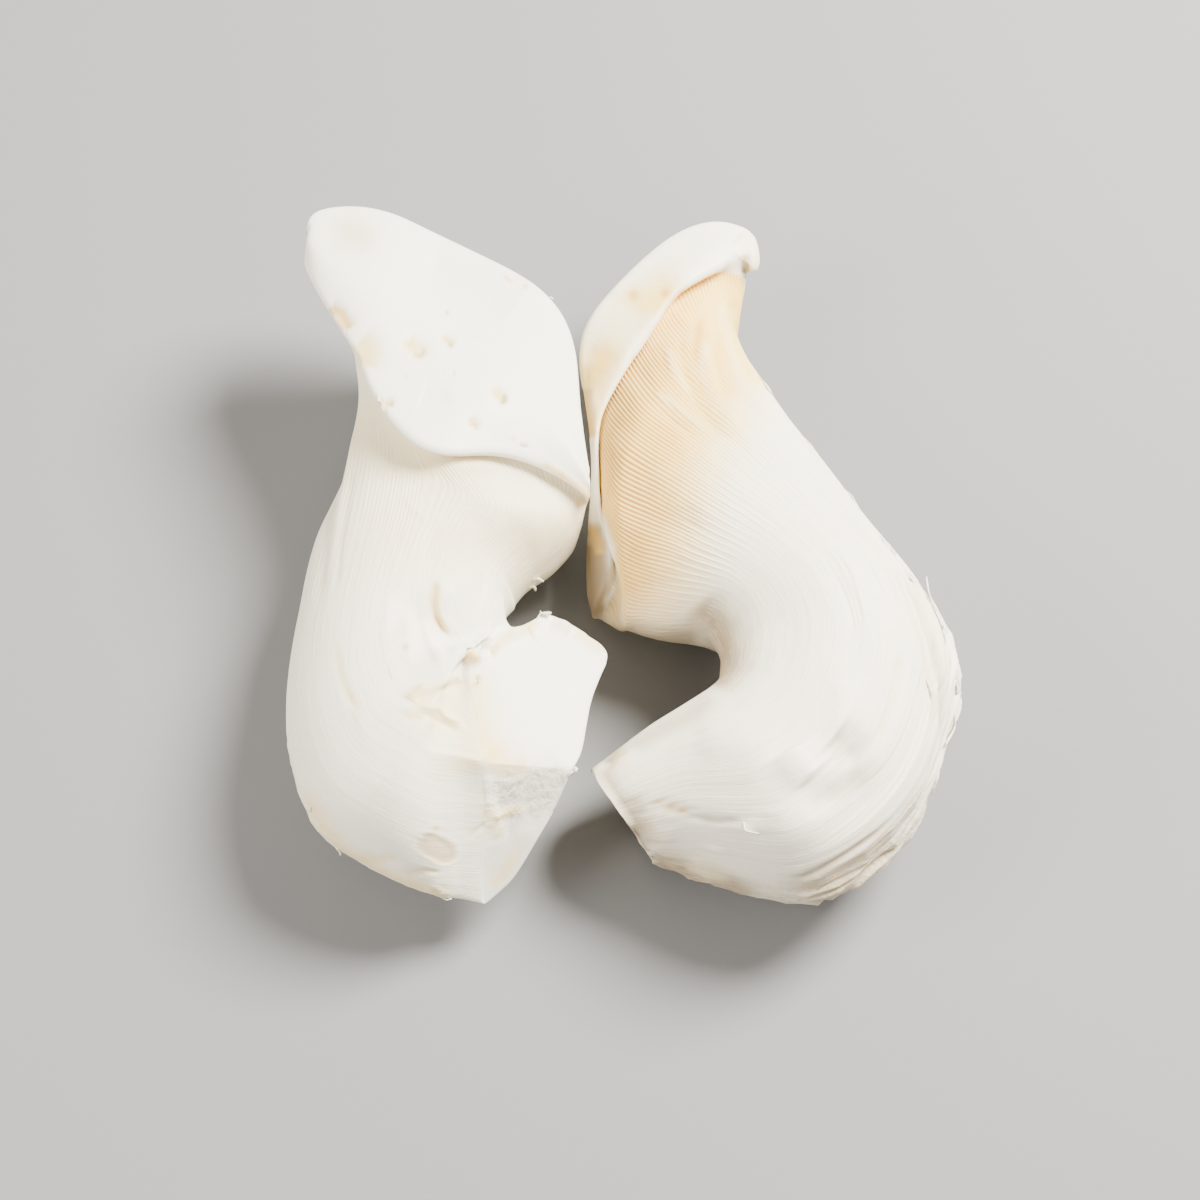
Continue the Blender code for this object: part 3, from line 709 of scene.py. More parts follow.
LEFT_MARKS = [
    # dimples, stains and nicks on the flap, then faint painted shade on it and a painted highlight along
    # its edge
    ([(411, 345), (421, 350)], 1.5, -0.8, CREAM, 0.8, "cap"),
    ([(413, 353), (420, 355), (426, 349)], 0.6, 0.2, TAN, 0.7, "cap"),
    ([(406, 342), (410, 340)], 0.6, -0.2, HONEY, 0.6, "cap"),
    ([(445, 337), (451, 341)], 0.8, -0.6, HONEY, 0.8, "cap"),
    ([(451, 344)], 0.6, 0.0, TAN, 0.8, "cap"),
    ([(496, 392), (502, 398)], 1.0, -0.8, CREAM, 1.0, "cap"),
    ([(503, 394), (506, 399), (502, 404)], 0.55, 0.0, TAN, 0.8, "cap"),
    ([(471, 421), (476, 425)], 0.75, -0.6, HONEY, 0.9, "cap"),
    ([(444, 371)], 0.5, -0.15, CREAM, 0.6, "cap"),
    ([(447, 312)], 0.35, -0.15, TAN, 0.8, "cap"),
    ([(454, 374)], 0.3, -0.1, TAN, 0.6, "cap"),
    ([(475, 338)], 0.4, 0.0, CREAM, 0.5, "cap"),
    ([(405, 377)], 0.4, 0.0, TAN, 0.4, "cap"),
    ([(411, 429)], 0.5, 0.1, CREAM, 0.5, "cap"),
    ([(513, 439)], 0.5, -0.2, CREAM, 0.8, "cap"),
    ([(521, 445), (526, 446)], 0.35, -0.2, TAN, 0.8, "cap"),
    ([(506, 275), (511, 279)], 0.4, -0.25, HONEY, 0.8, "cap"),
    ([(526, 286)], 0.6, 0.2, AMBER, 0.8, "cap"),
    ([(328, 308), (340, 314), (349, 330)], 1.5, -0.5, HONEY, 0.9, "cap"),
    ([(357, 340), (368, 350), (364, 368)], 2.8, -0.35, CREAM, 0.75, "cap"),
    ([(371, 402), (382, 405), (394, 402)], 0.7, -0.8, HONEY, 0.9, "cap"),
    ([(376, 408), (388, 408)], 0.6, 0.3, BRIGHT, 0.5, "cap"),
    ([(349, 232), (360, 236)], 4.0, 0.0, ROSE, 0.5, "cap"),
    # faint painted shade on the flap: in a shallow hollow below its middle and along its upper crest
    ([(420, 395), (435, 400), (450, 392)], 2.5, -0.3, GREY, 0.15, "cap"),
    ([(430, 255), (470, 270), (520, 300)], 6.0, -0.5, GREY, 0.15, "cap"),
    ([(540, 462), (560, 473), (580, 487), (594, 500)], 0.5, 0.1, HONEY, 0.8, "all"),
    ([(563, 475)], 0.45, 0.2, AMBER, 0.6, "all"),
    # painted highlight along the flap's lower edge, which stands a little raised
    ([(392, 430), (412, 443), (440, 449), (480, 452), (520, 453)], 0.9, 0.1, BRIGHT, 0.5, "cap"),
    # the neck under the flap: painted shadow cast by the flap, and painted shade on the belly below it
    # painted shadow cast by the flap along the neck
    ([(350, 405), (372, 435), (400, 452), (440, 462), (500, 470)], 5.0, 0.0, PALE_CREAM, 0.9, "stem"),
    ([(440, 470), (500, 468), (560, 485), (590, 505)], 1.6, 0.0, TAN, 0.25, "stem"),
    # painted shade under the flap's left edge
    ([(330, 480), (345, 430), (352, 385)], 2.5, 0.0, PALE_CREAM, 0.7, "stem"),
    ([(405, 500), (414, 510), (428, 520)], 0.35, 0.2, CREAM, 0.5, "stem"),
    # painted shade on the belly where it curves down from the flap
    ([(360, 520), (450, 535), (520, 540), (580, 520)], 8.0, 0.0, PALE_CREAM, 0.5, "stem"),
    ([(420, 545), (480, 552), (540, 545)], 5.0, -0.5, TAN, 0.14, "stem"),
    ([(338, 470), (325, 540), (318, 600)], 1.0, -0.35, PALE_CREAM, 0.3, "stem"),
    ([(352, 470), (340, 540), (335, 590)], 0.8, -0.25, PALE_CREAM, 0.3, "stem"),
    # the curved ridge on the neck
    ([(436, 580), (432, 600), (435, 618), (446, 634)], 0.8, -0.4, HONEY, 0.5, "stem"),
    ([(441, 580), (438, 600), (440, 616), (448, 630)], 0.8, 0.45, CREAM, 0.7, "stem"),
    ([(449, 584), (447, 605), (450, 622), (458, 632)], 1.0, 0.3, BRIGHT, 0.7, "stem"),
    ([(436, 616), (442, 628), (450, 635)], 0.5, -0.35, HONEY, 0.8, "stem"),
    # the bulge above the fold with a painted highlight, and the fold where the foot rises over the neck
    # with painted cool shade in and below it
    ([(480, 595), (500, 600), (512, 596)], 5.0, 0.7, BRIGHT, 0.5, "stem"),
    ([(516, 622), (498, 630), (468, 638), (440, 642), (408, 652)], 1.8, -0.6, COOL, 0.6, "stem"),
    ([(500, 636), (470, 648), (430, 660)], 3.0, 0.5, COOL, 0.6, "stem"),
    ([(398, 656), (402, 654)], 0.4, -0.2, HONEY, 0.7, "stem"),
    ([(389, 674)], 0.35, -0.2, HONEY, 0.8, "stem"),
    ([(404, 648), (408, 646)], 0.35, 0.0, TAN, 0.6, "stem"),
    # the knob and the folds that run from it
    ([(468, 659), (472, 660)], 1.1, 1.5, HONEY, 1.0, "all"),
    ([(478, 658)], 0.8, 0.8, PALE_CREAM, 0.8, "all"),
    ([(462, 674), (440, 684), (420, 690), (406, 702)], 0.9, 0.5, PALE_CREAM, 0.6, "stem"),
    ([(462, 680), (440, 691), (424, 698), (410, 706)], 0.6, -0.45, CREAM, 0.7, "stem"),
    ([(424, 686), (416, 692), (408, 700)], 0.8, 0.3, HONEY, 0.7, "stem"),
    ([(400, 714), (420, 706), (437, 708), (448, 718), (462, 727)], 0.7, 0.4, PALE_CREAM, 0.7, "stem"),
    ([(404, 720), (425, 714), (440, 722), (458, 732)], 0.7, -0.3, CREAM, 0.7, "stem"),
    ([(436, 706), (446, 717), (460, 722)], 0.35, 0.4, HONEY, 0.5, "stem"),
    ([(424, 700), (440, 714), (456, 724)], 3.4, 0.0, PALE_CREAM, 0.9, "stem"),
    ([(336, 646), (340, 676), (350, 698), (362, 710)], 0.9, -0.18, CREAM, 0.4, "stem"),
    ([(345, 690), (352, 700)], 0.5, -0.1, CREAM, 0.5, "stem"),
    # lower body: faint level lines, the scar and its speck, the worn lower edge, and painted grey shade
    # low on the body
    ([(352, 720), (390, 712), (430, 735)], 5.0, 0.3, None, 0, "stem"),
    ([(342, 860), (360, 862), (398, 857)], 0.6, -0.35, CREAM, 0.6, "stem"),
    ([(405, 875), (425, 871), (440, 873)], 0.5, -0.3, CREAM, 0.5, "stem"),
    ([(468, 838), (480, 828), (494, 818)], 0.5, -0.25, CREAM, 0.4, "stem"),
    ([(436, 827)], 0.6, 0.3, AMBER, 1.0, "stem"),
    ([(303, 785), (315, 815), (340, 850), (380, 873), (430, 892), (458, 897)],
     1.9, 0.0, CREAM, 0.6, "stem"),
    # painted shade: greyer low on the body
    ([(365, 790), (400, 830), (450, 850)], 6.0, 0.0, GREY, 0.2, "stem"),
    # the knife's upper face: warm along its left and upper edges
    ([(468, 668), (474, 700), (484, 738), (500, 764)], 4.4, 0.0, PALE_CREAM, 1.0, "cut"),
    ([(467, 668), (471, 700), (480, 738), (492, 764)], 1.3, 0.0, CREAM, 0.6, "cut"),
    ([(456, 680), (462, 730), (478, 775)], 5.0, 0.0, PALE_CREAM, 0.9, "stem"),
    ([(486, 748), (505, 766), (530, 764)], 2.6, 0.1, CREAM, 0.6, "cut"),
    ([(488, 654), (510, 634), (540, 618)], 1.6, 0.0, CREAM, 0.6, "cut"),
    ([(575, 630), (592, 640), (606, 650)], 1.8, 0.0, CREAM, 0.7, "cut"),
    ([(550, 622), (562, 628), (572, 632)], 1.4, -0.2, ROSE, 0.5, "cut"),
    ([(528, 628), (536, 640)], 0.35, -0.3, HONEY, 0.6, "cut"),
    ([(476, 684), (480, 678)], 0.4, 0.3, HONEY, 0.7, "cut"),
    # its lower face: painted greyer as shade, with a coarse band across the top
    ([(496, 806), (535, 794), (572, 778)], 5.5, -0.3, GREY, 0.6, "cut"),
    ([(488, 800), (492, 822), (500, 838)], 1.6, 0.2, PALE_CREAM, 0.8, "all"),
    ([(495, 840), (505, 870), (530, 830)], 5.0, 0.0, GREY, 0.45, "cut"),
    ([(492, 818), (508, 812), (524, 808)], 0.8, 0.3, CREAM, 0.6, "cut"),
    ([(490, 888), (505, 872), (520, 850)], 1.2, 0.0, CREAM, 0.5, "all"),
]


# The outer side of the right bend, where the skin is peeling
RIM = [(893, 530), (918, 562), (940, 605), (955, 650), (959, 690), (956, 740), (945, 785), (920, 825),
       (890, 852), (850, 882), (806, 902)]


def dress_right(skin):
    # the gills run up to the lip, whose right end hangs down as a hook and whose lower end is drawn out
    skin.smooth_along(skin.lip_place + 0.8, 2.4, 160, skin.arc(60, 215, 20))
    skin.smooth_along(skin.lip_place + 1.3, 1.6, 30, skin.arc(20, 60, 20))
    hanging = ease(skin.place, skin.lip_place + 2, skin.lip_place + 3.5)
    hook = skin.seen_share([(750, 250), (757, 263)], 2.0, side=True) * hanging
    skin.shift_by(hook, (0.4, -3.4, -0.6))
    skin.shift_by(skin.seen_share([(606, 612), (622, 618)], 2.4, side=True), (-0.8, -2.2, 0.0))
    skin.relax([(592, 622)], 3.5, 250)
    skin.relax([(600, 764)], 1.6, 30)
    skin.look()
    flow = skin.flow()
    top = 1 - 0.65 * (1 - ease(skin.seen[..., 1], 290, 400))
    relief, valley = gill_relief(skin, 0.42, 20, 60, (-4, 186), 0.4)
    gilled = skin.off_line([(735, 275), (700, 320), (660, 400), (635, 460), (622, 520), (616, 545)])
    cream = ease(gilled, 125, 25) * skin.stem
    skin.paint(0.9 * cream, GILL_CREAM)
    # painted shade in the gill valleys near the lip, in the gills' own amber
    rooted = skin.off_line([(690, 300), (650, 345), (625, 395), (610, 450), (602, 500), (614, 560)])
    skin.paint(0.85 * valley * ease(rooted, 120, 10) * skin.stem, GILL_AMBER_AND_SHADE)
    skin.lift -= relief * top
    fibres = layered_noise(flow, (1.0, 24.0), 31)
    waves = layered_noise(flow, (8.0, 30.0), 41, 2)
    outer = skin.off_line([(845, 480), (900, 560), (935, 630), (945, 700), (930, 770), (895, 830)])
    scaly = ease(outer, 95, 20) * skin.stem
    layers = layered_noise(flow, (4.5, 55.0), 61, 2)
    steps = ease(layers, -0.06, 0.0) + ease(layers, 0.22, 0.28) + ease(layers, -0.34, -0.28)
    skin.lift += skin.stem * (0.05 * fibres + 0.35 * waves) + scaly * (0.32 * steps + 0.12 * fibres)
    skin.paint(scaly * ease(layers, -0.12, 0.0) * (1 - ease(layers, 0.0, 0.1)) * 0.35, PALE_CREAM)
    edge = skin.off_line([(655, 868), (742, 900), (785, 904), (842, 888), (890, 850), (925, 800)])
    worn = ease(edge, 26, 8) * skin.stem
    skin.spongy = worn
    skin.lift += worn * (0.9 * layered_noise(skin.points, 2.2, 71) - 0.2)
    skin.paint(worn * 0.4, TAN)
    peeled = ease(skin.off_line(RIM), 16, 3) * (1 - skin.foot)
    shreds = layered_noise(flow, (1.4, 4.0), 73)
    torn = layered_noise(flow, (4.0, 9.0), 74)
    skin.lift += peeled * (1.9 * shreds + 1.2 * ease(torn, -0.02, 0.06) - 0.4)
    skin.paint(peeled * 0.4 * ease(torn, 0.05, -0.1), PALE_CREAM)
    skin.lift += skin.foot * 0.3 * layered_noise(skin.points, 3.0, 51)
    skin.paint(skin.foot * 0.6, PALE_CREAM)
    skin.fibrous = skin.stem * (1 - 0.85 * cream)
    skin.mark(RIGHT_MARKS)
    skin.settle()


def dress_left(skin):
    # the neck is drawn in under the flap's left edge, and the belly runs up to the flap in one sweep
    under_lip = ease(skin.place, skin.lip_place - 5, skin.lip_place - 1.5)
    under_lip *= 1 - ease(skin.place, skin.lip_place + 1.5, skin.lip_place + 2.5)
    skin.shift_by(under_lip * skin.arc(152, 196, 14), (4.5, -2.0, -3.0))
    skin.smooth_along(skin.lip_place - 2.2, 3.0, 160, skin.arc(5, 120, 25))
    skin.smooth_along(skin.lip_place + 0.6, 2.2, 90, skin.arc(-10, 100, 20))
    skin.relax([(306, 222)], 2.0, 60)
    skin.relax([(468, 668), (476, 720), (487, 765), (487, 830), (483, 895)], 1.1, 50)
    skin.look()
    flow = skin.flow()
    relief, valley = gill_relief(skin, 0.13, 14, 60, (-4, 186), 0.5)
    skin.lift -= relief
    skin.paint(0.35 * valley * skin.stem, CREAM)
    skin.paint(skin.cap, COOL)
    fibres = layered_noise(flow, (1.0, 26.0), 32)
    waves = layered_noise(flow, (9.0, 30.0), 42, 2)
    skin.fibrous = skin.stem * (1 - 0.35 * ease(skin.seen[..., 1], 620, 740))
    skin.lift += 0.04 * skin.fibrous * fibres + 0.22 * skin.stem * waves
    swell = layered_noise(skin.points, 14.0, 81, 2)
    skin.lift += skin.cap * 0.22 * swell
    # painted shade: the lower part of the body is painted cooler
    shade_below = ease(skin.seen[..., 1], 700, 860) * skin.stem
    skin.paint(0.4 * shade_below, COOL)
    edge = skin.off_line([(290, 740), (303, 795), (335, 858), (380, 882), (455, 899)])
    worn = ease(edge, 16, 4) * skin.stem
    skin.lift += worn * 0.5 * layered_noise(skin.points, 2.2, 72)
    # the knife's faces: the upper one painted bright as lit, the lower one painted cool as in shade
    lower = ease(skin.seen[..., 1] - 0.05 * (skin.seen[..., 0] - 540), 756, 778) * skin.foot
    upper = skin.foot * (1 - lower)
    skin.paint(upper, BRIGHT)
    skin.paint(lower, COOL)
    coarse = lower * ease(skin.off_line([(500, 800), (540, 790), (575, 775)]), 34, 14)
    skin.spongy = coarse + 0.5 * worn
    skin.lift += upper * 0.05 * layered_noise(skin.points, 2.0, 52)
    skin.lift += lower * 0.10 * layered_noise(skin.points, 2.5, 53)
    skin.lift += coarse * 0.38 * layered_noise(skin.points, 1.8, 54)
    scar = skin.off_line([(430, 845), (445, 853)])
    inside = ease(scar, 13, 10) * skin.facing * skin.stem
    rim = np.exp(-((scar - 12.5) / 2.2) ** 2) * skin.facing * skin.stem
    skin.lift += -0.22 * inside + 0.12 * rim
    skin.paint(0.75 * inside, ROSE)
    skin.paint(0.5 * rim, PALE_CREAM)
    skin.mark(LEFT_MARKS)
    skin.settle()


STRIP_STEPS = 15
STRIP_THICKNESS = 0.14
STRIP_ROOT = 0.1         # how far a strip's line is sunk into the skin
STRIP_SEED = 90
TABLE_GAP = 0.05         # the least height of a strip above the table

# Torn strips: the places in the picture they pass, how far they stand off there, and their width
RIGHT_STRIPS = [
    ([(918, 583), (921, 598), (927, 606), (930, 620), (936, 632), (939, 648)],
     [2.0, 1.1, 0.7, 0.9, 1.1, 0.2], 1.4),
    ([(904, 570), (914, 586), (923, 600)], [0.0, 0.2, 0.7], 2.0),
    ([(938, 622), (946, 642), (950, 660)], [0.0, 0.3, 0.9], 2.2),
    ([(948, 664), (954, 684), (954, 700)], [0.0, 0.4, 1.0], 2.0),
    ([(950, 712), (953, 728), (949, 744)], [0.0, 0.6, 1.1], 1.2),
    ([(925, 682), (930, 692), (932, 702)], [0.3, 0.6, 0.0], 0.8),
    ([(944, 752), (939, 776), (930, 796)], [0.0, 0.3, 0.8], 1.8),
    ([(762, 372), (768, 388), (776, 398)], [0.1, 0.6, 0.0], 1.0),
    ([(798, 430), (806, 445), (815, 458)], [0.1, 0.5, 0.0], 1.0),
    ([(842, 486), (850, 497), (862, 512)], [0.0, 0.5, 0.0], 1.2),
    ([(875, 535), (884, 548), (893, 558)], [0.0, 0.6, 0.0], 1.4),
    ([(741, 817), (746, 829), (757, 836)], [0.0, 0.5, 0.0], 0.6),
]
LEFT_STRIPS = [
    ([(536, 612), (541, 607), (543, 603)], [0.0, 0.8, 1.6], 0.8),
    ([(540, 613), (546, 609), (550, 608)], [0.0, 0.9, 1.5], 0.9),
    ([(535, 615), (543, 612), (549, 615)], [0.1, 0.7, 0.9], 1.0),
    ([(533, 580), (537, 577), (540, 578)], [0.0, 0.7, 1.3], 0.8),
    ([(528, 588), (532, 585), (533, 587)], [0.0, 0.6, 1.0], 0.7),
    ([(572, 774), (577, 770), (581, 775)], [0.0, 0.9, 1.2], 1.1),
    ([(570, 778), (576, 779), (582, 777)], [0.0, 0.6, 0.9], 0.9),
    ([(336, 848), (337, 855), (339, 856)], [0.0, 0.6, 0.9], 0.8),
    ([(310, 806), (309, 810), (311, 812)], [0.0, 0.5, 0.8], 0.7),
    ([(549, 297), (552, 296), (554, 298)], [0.0, 0.4, 0.6], 0.6),
    ([(440, 897), (447, 898), (452, 897)], [0.0, 0.5, 0.3], 0.9),
    ([(476, 680), (480, 676), (478, 684)], [0.0, 0.6, 0.2], 0.6),
]


def strip_mesh(skin, places, lifts, width, seed):
    """A thin torn strip: it starts in the flesh and thins to both ends."""
    found = [skin.at(place) for place in places]
    spots = np.array([point for point, normal in found])
    faces_out = np.array([normal for point, normal in found])
    at = np.linspace(0, 1, len(places))
    t = np.linspace(0, 1, STRIP_STEPS)

    def read(values):
        return np.column_stack([np.interp(t, at, values[:, axis]) for axis in range(3)])

    path, out = read(spots), unit(read(faces_out))
    path = path + out * np.interp(t, at, lifts)[:, None] - STRIP_ROOT * out
    for _ in range(2):
        path[1:-1] = (path[:-2] + 2 * path[1:-1] + path[2:]) / 4
    tangent = unit(np.gradient(path, axis=0))
    side = unit(np.cross(out, tangent))
    rng = np.random.default_rng(seed)
    half = width / 2 * np.clip(np.sin(math.pi * (0.06 + 0.88 * t)), 0, 1) ** 0.6
    ragged = half[:, None] * (1 + 0.45 * rng.uniform(-1, 1, (STRIP_STEPS, 2)))
    curl = 0.12 * width * np.sin(math.pi * t)[:, None]
    thick = out * STRIP_THICKNESS
    ring = np.stack([path + side * ragged[:, :1] + out * curl * 0.5, path + thick,
                     path - side * ragged[:, 1:] - out * curl, path - thick], axis=1)
    points = ring.reshape(-1, 3)
    faces = [(3, 2, 1, 0)]
    for i in range(STRIP_STEPS - 1):
        for k in range(4):
            m = (k + 1) % 4
            faces.append((4 * i + k, 4 * i + m, 4 * i + 4 + m, 4 * i + 4 + k))
    last = 4 * (STRIP_STEPS - 1)
    faces.append((last, last + 1, last + 2, last + 3))
    return points, faces


def strips_object(skin, strips, name, material):
    points, faces = [], []
    for number, (places, lifts, width) in enumerate(strips):
        new_points, new_faces = strip_mesh(skin, places, lifts, width, STRIP_SEED + number)
        faces += [tuple(i + sum(map(len, points)) for i in face) for face in new_faces]
        points.append(new_points)
    everything = np.vstack(points)
    everything[:, 2] = np.maximum(everything[:, 2], TABLE_GAP)
    piece = mesh_object(name, everything, faces)
    tint_points(piece, np.ones((len(everything), 3)) * np.array(WHITE))
    piece.data.materials.append(material)
    return piece


def mesh_object(name, points, faces):
    mesh = bpy.data.meshes.new(name)
    mesh.from_pydata((points * MM).tolist(), [], faces)
    mesh.shade_smooth()
    piece = bpy.data.objects.new(name, mesh)
    bpy.context.collection.objects.link(piece)
    return piece


def point_values(piece, name, kind, values):
    """Values kept on a mesh's points: one number, a vector or a colour each."""
    layer = piece.data.attributes.new(name, kind, "POINT")
    field = {"FLOAT": "value", "FLOAT_VECTOR": "vector", "FLOAT_COLOR": "color"}[kind]
    layer.data.foreach_set(field, values.astype(np.float32).reshape(-1))


def tint_points(piece, colours):
    opaque = np.ones((len(colours), 1))
    point_values(piece, "tint", "FLOAT_COLOR", np.hstack([colours, opaque]))


def skin_object(skin, name):
    points = skin.points.reshape(-1, 3)
    points[:, 2] = np.maximum(points[:, 2], 0)
    rows, count = skin.shape
    middle, pole = len(points), len(points) + 1
    points = np.vstack([points, skin.ends])
    low = np.arange((rows - 1) * count).reshape(rows - 1, count)
    beside = np.roll(low, -1, axis=1)
    quads = np.stack([low, low + count, beside + count, beside], axis=-1).reshape(-1, 4)
    j = np.arange(count)
    k = (j + 1) % count
    last = (rows - 1) * count
    foot_fan = np.stack([np.full(count, middle), j, k], axis=-1)
    far_fan = np.stack([np.full(count, pole), last + k, last + j], axis=-1)
    piece = mesh_object(name, points, quads.tolist() + foot_fan.tolist() + far_fan.tolist())

    def with_ends(values):
        flat = values.reshape((-1,) + values.shape[2:])
        return np.concatenate([flat, values[:1].mean(axis=1), values[-1:].mean(axis=1)])

    tint_points(piece, with_ends(skin.tint))
    point_values(piece, "fibrous", "FLOAT", with_ends(skin.fibrous))
    point_values(piece, "spongy", "FLOAT", with_ends(skin.spongy))
    flow = np.concatenate([skin.flow(), np.zeros(skin.shape + (1,))], axis=-1)
    point_values(piece, "flow", "FLOAT_VECTOR", with_ends(flow))
    return piece


# Flesh

WARM_STREAK = (0.80, 0.68, 0.52)
PALE_STREAK = (0.96, 0.95, 0.93)
PORE = (0.50, 0.38, 0.25)
SCATTER = (1.0, 0.72, 0.46)   # how far red, green and blue light spread in the flesh


class Nodes:
    """Short names for building a node tree."""

    def __init__(self, material):
        material.use_nodes = True
        self.tree = material.node_tree
        self.shader = self.tree.nodes["Principled BSDF"]

    def new(self, kind, **settings):
        node = self.tree.nodes.new(kind)
        for name, value in settings.items():
            setattr(node, name, value)
        return node

    def link(self, out, into):
        self.tree.links.new(out, into)

    def attribute(self, name, output="Fac"):
        return self.new("ShaderNodeAttribute", attribute_name=name).outputs[output]

    def number(self, operation, a, b):
        node = self.new("ShaderNodeMath", operation=operation)
        for socket, value in zip(node.inputs, (a, b)):
            if isinstance(value, (int, float)):
                socket.default_value = value
            else:
                self.link(value, socket)
        return node.outputs[0]

    def times(self, a, b):
        return self.number("MULTIPLY", a, b)

    def plus(self, a, b):
        return self.number("ADD", a, b)

    def mix(self, share, first, second):
        node = self.new("ShaderNodeMix", data_type="RGBA")
        sockets = (node.inputs[0], node.inputs[6], node.inputs[7])
        for socket, value in zip(sockets, (share, first, second)):
            if hasattr(value, "is_linked"):
                self.link(value, socket)
            elif isinstance(value, (int, float)):
                socket.default_value = value
            else:
                socket.default_value = (*value, 1)
        return node.outputs[2]

    def curve(self, value, low, high):
        node = self.new("ShaderNodeMapRange", interpolation_type="SMOOTHSTEP")
        self.link(value, node.inputs["Value"])
        node.inputs["From Min"].default_value = low
        node.inputs["From Max"].default_value = high
        return node.outputs[0]

    def noise(self, where, scale, detail, roughness):
        """Noise with its own scale along each axis."""
        mapping = self.new("ShaderNodeMapping")
        mapping.inputs["Scale"].default_value = scale
        self.link(where, mapping.inputs["Vector"])
        node = self.new("ShaderNodeTexNoise")
        node.inputs["Scale"].default_value = 1.0
        node.inputs["Detail"].default_value = detail
        node.inputs["Roughness"].default_value = roughness
        self.link(mapping.outputs[0], node.inputs["Vector"])
        return node.outputs["Fac"]


def flesh(name):
    material = bpy.data.materials.new(name)
    n = Nodes(material)
    place = n.new("ShaderNodeTexCoord").outputs["Object"]
    flow = n.attribute("flow", "Vector")
    fibrous, spongy = n.attribute("fibrous"), n.attribute("spongy")
    streaks = n.noise(flow, (0.9, 0.05, 1.0), 4.0, 0.6)
    threads = n.noise(flow, (3.2, 0.12, 1.0), 3.0, 0.6)
    clouds = n.noise(place, (90.0,) * 3, 3.0, 0.5)
    grain = n.noise(place, (1300.0,) * 3, 2.0, 0.5)
    pores = n.noise(place, (650.0,) * 3, 3.0, 0.65)
    colour = n.attribute("tint", "Color")
    for share, over in ((n.times(n.curve(streaks, 0.52, 0.75), n.times(fibrous, 0.55)), WARM_STREAK),
                        (n.times(n.curve(threads, 0.55, 0.75), n.times(fibrous, 0.45)), PALE_STREAK),
                        (n.times(n.curve(clouds, 0.5, 0.8), 0.16), WARM_STREAK),
                        (n.times(n.curve(pores, 0.52, 0.7), n.times(spongy, 0.4)), PORE)):
        colour = n.mix(share, colour, over)
    n.link(colour, n.shader.inputs["Base Color"])
    n.link(n.plus(n.times(clouds, 0.25), 0.40), n.shader.inputs["Roughness"])
    n.shader.inputs["Subsurface Weight"].default_value = 0.3
    n.shader.inputs["Subsurface Radius"].default_value = SCATTER
    n.shader.inputs["Subsurface Scale"].default_value = 0.003
    fibre_height = n.times(n.plus(streaks, threads), fibrous)
    pore_height = n.times(n.times(pores, spongy), 2.5)
    height = n.plus(n.plus(fibre_height, pore_height), n.times(grain, 0.3))
    bump = n.new("ShaderNodeBump")
    bump.inputs["Strength"].default_value = 0.4
    bump.inputs["Distance"].default_value = 0.0004
    n.link(height, bump.inputs["Height"])
    n.link(bump.outputs[0], n.shader.inputs["Normal"])
    return material


# Stage

FLOOR = (0.20, 0.20, 0.205, 1)
SKY = (1.0, 0.95, 0.87, 1)
LIT = Vector((0, 0, 0.02))   # the point that the lights face


def make_floor():
    bpy.ops.mesh.primitive_plane_add(size=6, location=(0, 0, 0))
    floor = bpy.context.object
    floor.name = "floor"
    material = bpy.data.materials.new("floor_paint")
    material.use_nodes = True
    shader = material.node_tree.nodes["Principled BSDF"]
    shader.inputs["Base Color"].default_value = FLOOR
    shader.inputs["Roughness"].default_value = 0.85
    floor.data.materials.append(material)


def make_light(name, where, size, power, colour):
    light = bpy.data.lights.new(name, "AREA")
    light.shape = "DISK"
    light.size = size
    light.energy = power
    light.color = colour
    lamp = bpy.data.objects.new(name, light)
    lamp.location = where
    lamp.rotation_euler = (LIT - Vector(where)).to_track_quat("-Z", "Y").to_euler()
    bpy.context.collection.objects.link(lamp)


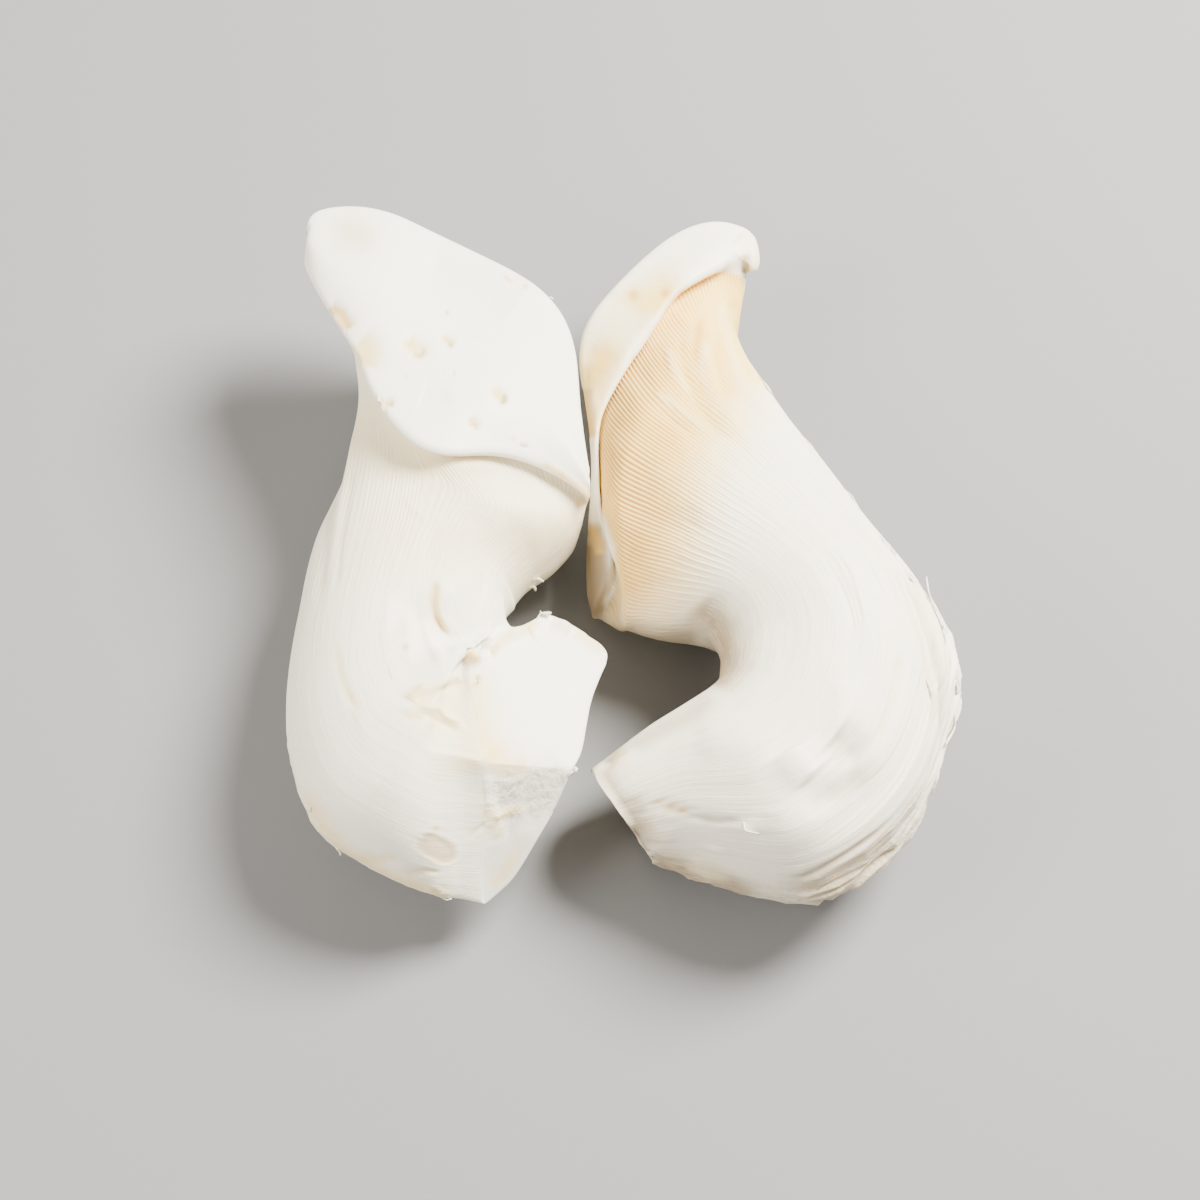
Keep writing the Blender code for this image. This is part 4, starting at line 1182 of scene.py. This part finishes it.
def make_camera():
    back, over, eye = camera_axes()
    data = bpy.data.cameras.new("camera")
    data.lens = LENS
    data.sensor_width = SENSOR
    data.clip_start = 0.01
    camera = bpy.data.objects.new("camera", data)
    camera.location = Vector(eye) * MM
    camera.rotation_euler = Vector(-back).to_track_quat("-Z", "Y").to_euler()
    bpy.context.collection.objects.link(camera)
    bpy.context.scene.camera = camera


def make_sky(brightness):
    world = bpy.data.worlds.new("studio")
    world.use_nodes = True
    background = world.node_tree.nodes["Background"]
    background.inputs["Color"].default_value = SKY
    background.inputs["Strength"].default_value = brightness
    bpy.context.scene.world = world


def pair_middle():
    """How far the part's source shifts the tables to put the pair's middle on the origin."""
    gilled = [plain_skin(mushroom, GILL_DEPTH)[0].reshape(-1, 3) for mushroom in (LEFT, RIGHT)]
    everything = np.vstack(gilled)
    middle = (everything.min(axis=0) + everything.max(axis=0)) / 2
    return np.array([middle[0], middle[1], 0.0])


def main():
    make_camera()
    shift = pair_middle()
    for mushroom, dress, strips, slot in ((LEFT, dress_left, LEFT_STRIPS, "left_flesh"),
                                          (RIGHT, dress_right, RIGHT_STRIPS, "right_flesh")):
        name = mushroom["name"]
        skin = Skin(mushroom, shift)
        dress(skin)
        material = flesh(name + "_flesh")
        piece = skin_object(skin, name + "_skin")
        piece.data.materials.append(material)
        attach(piece, "root")
        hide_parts(name)
        torn = strips_object(skin, strips, name + "_torn_strips", material)
        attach(torn, "root")
    make_floor()
    make_light("key", (0.50, 0.33, 0.72), 0.45, 56, (1.0, 0.965, 0.88))
    make_light("fill", (-0.8, -0.25, 0.45), 0.6, 13, (1.0, 0.96, 0.89))
    make_sky(0.7)


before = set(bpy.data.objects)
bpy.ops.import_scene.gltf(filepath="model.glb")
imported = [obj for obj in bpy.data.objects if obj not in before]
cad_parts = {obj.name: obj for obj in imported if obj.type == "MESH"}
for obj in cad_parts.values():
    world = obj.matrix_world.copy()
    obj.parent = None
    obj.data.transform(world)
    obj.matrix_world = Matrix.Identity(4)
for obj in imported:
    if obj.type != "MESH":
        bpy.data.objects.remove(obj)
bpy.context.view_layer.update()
main()
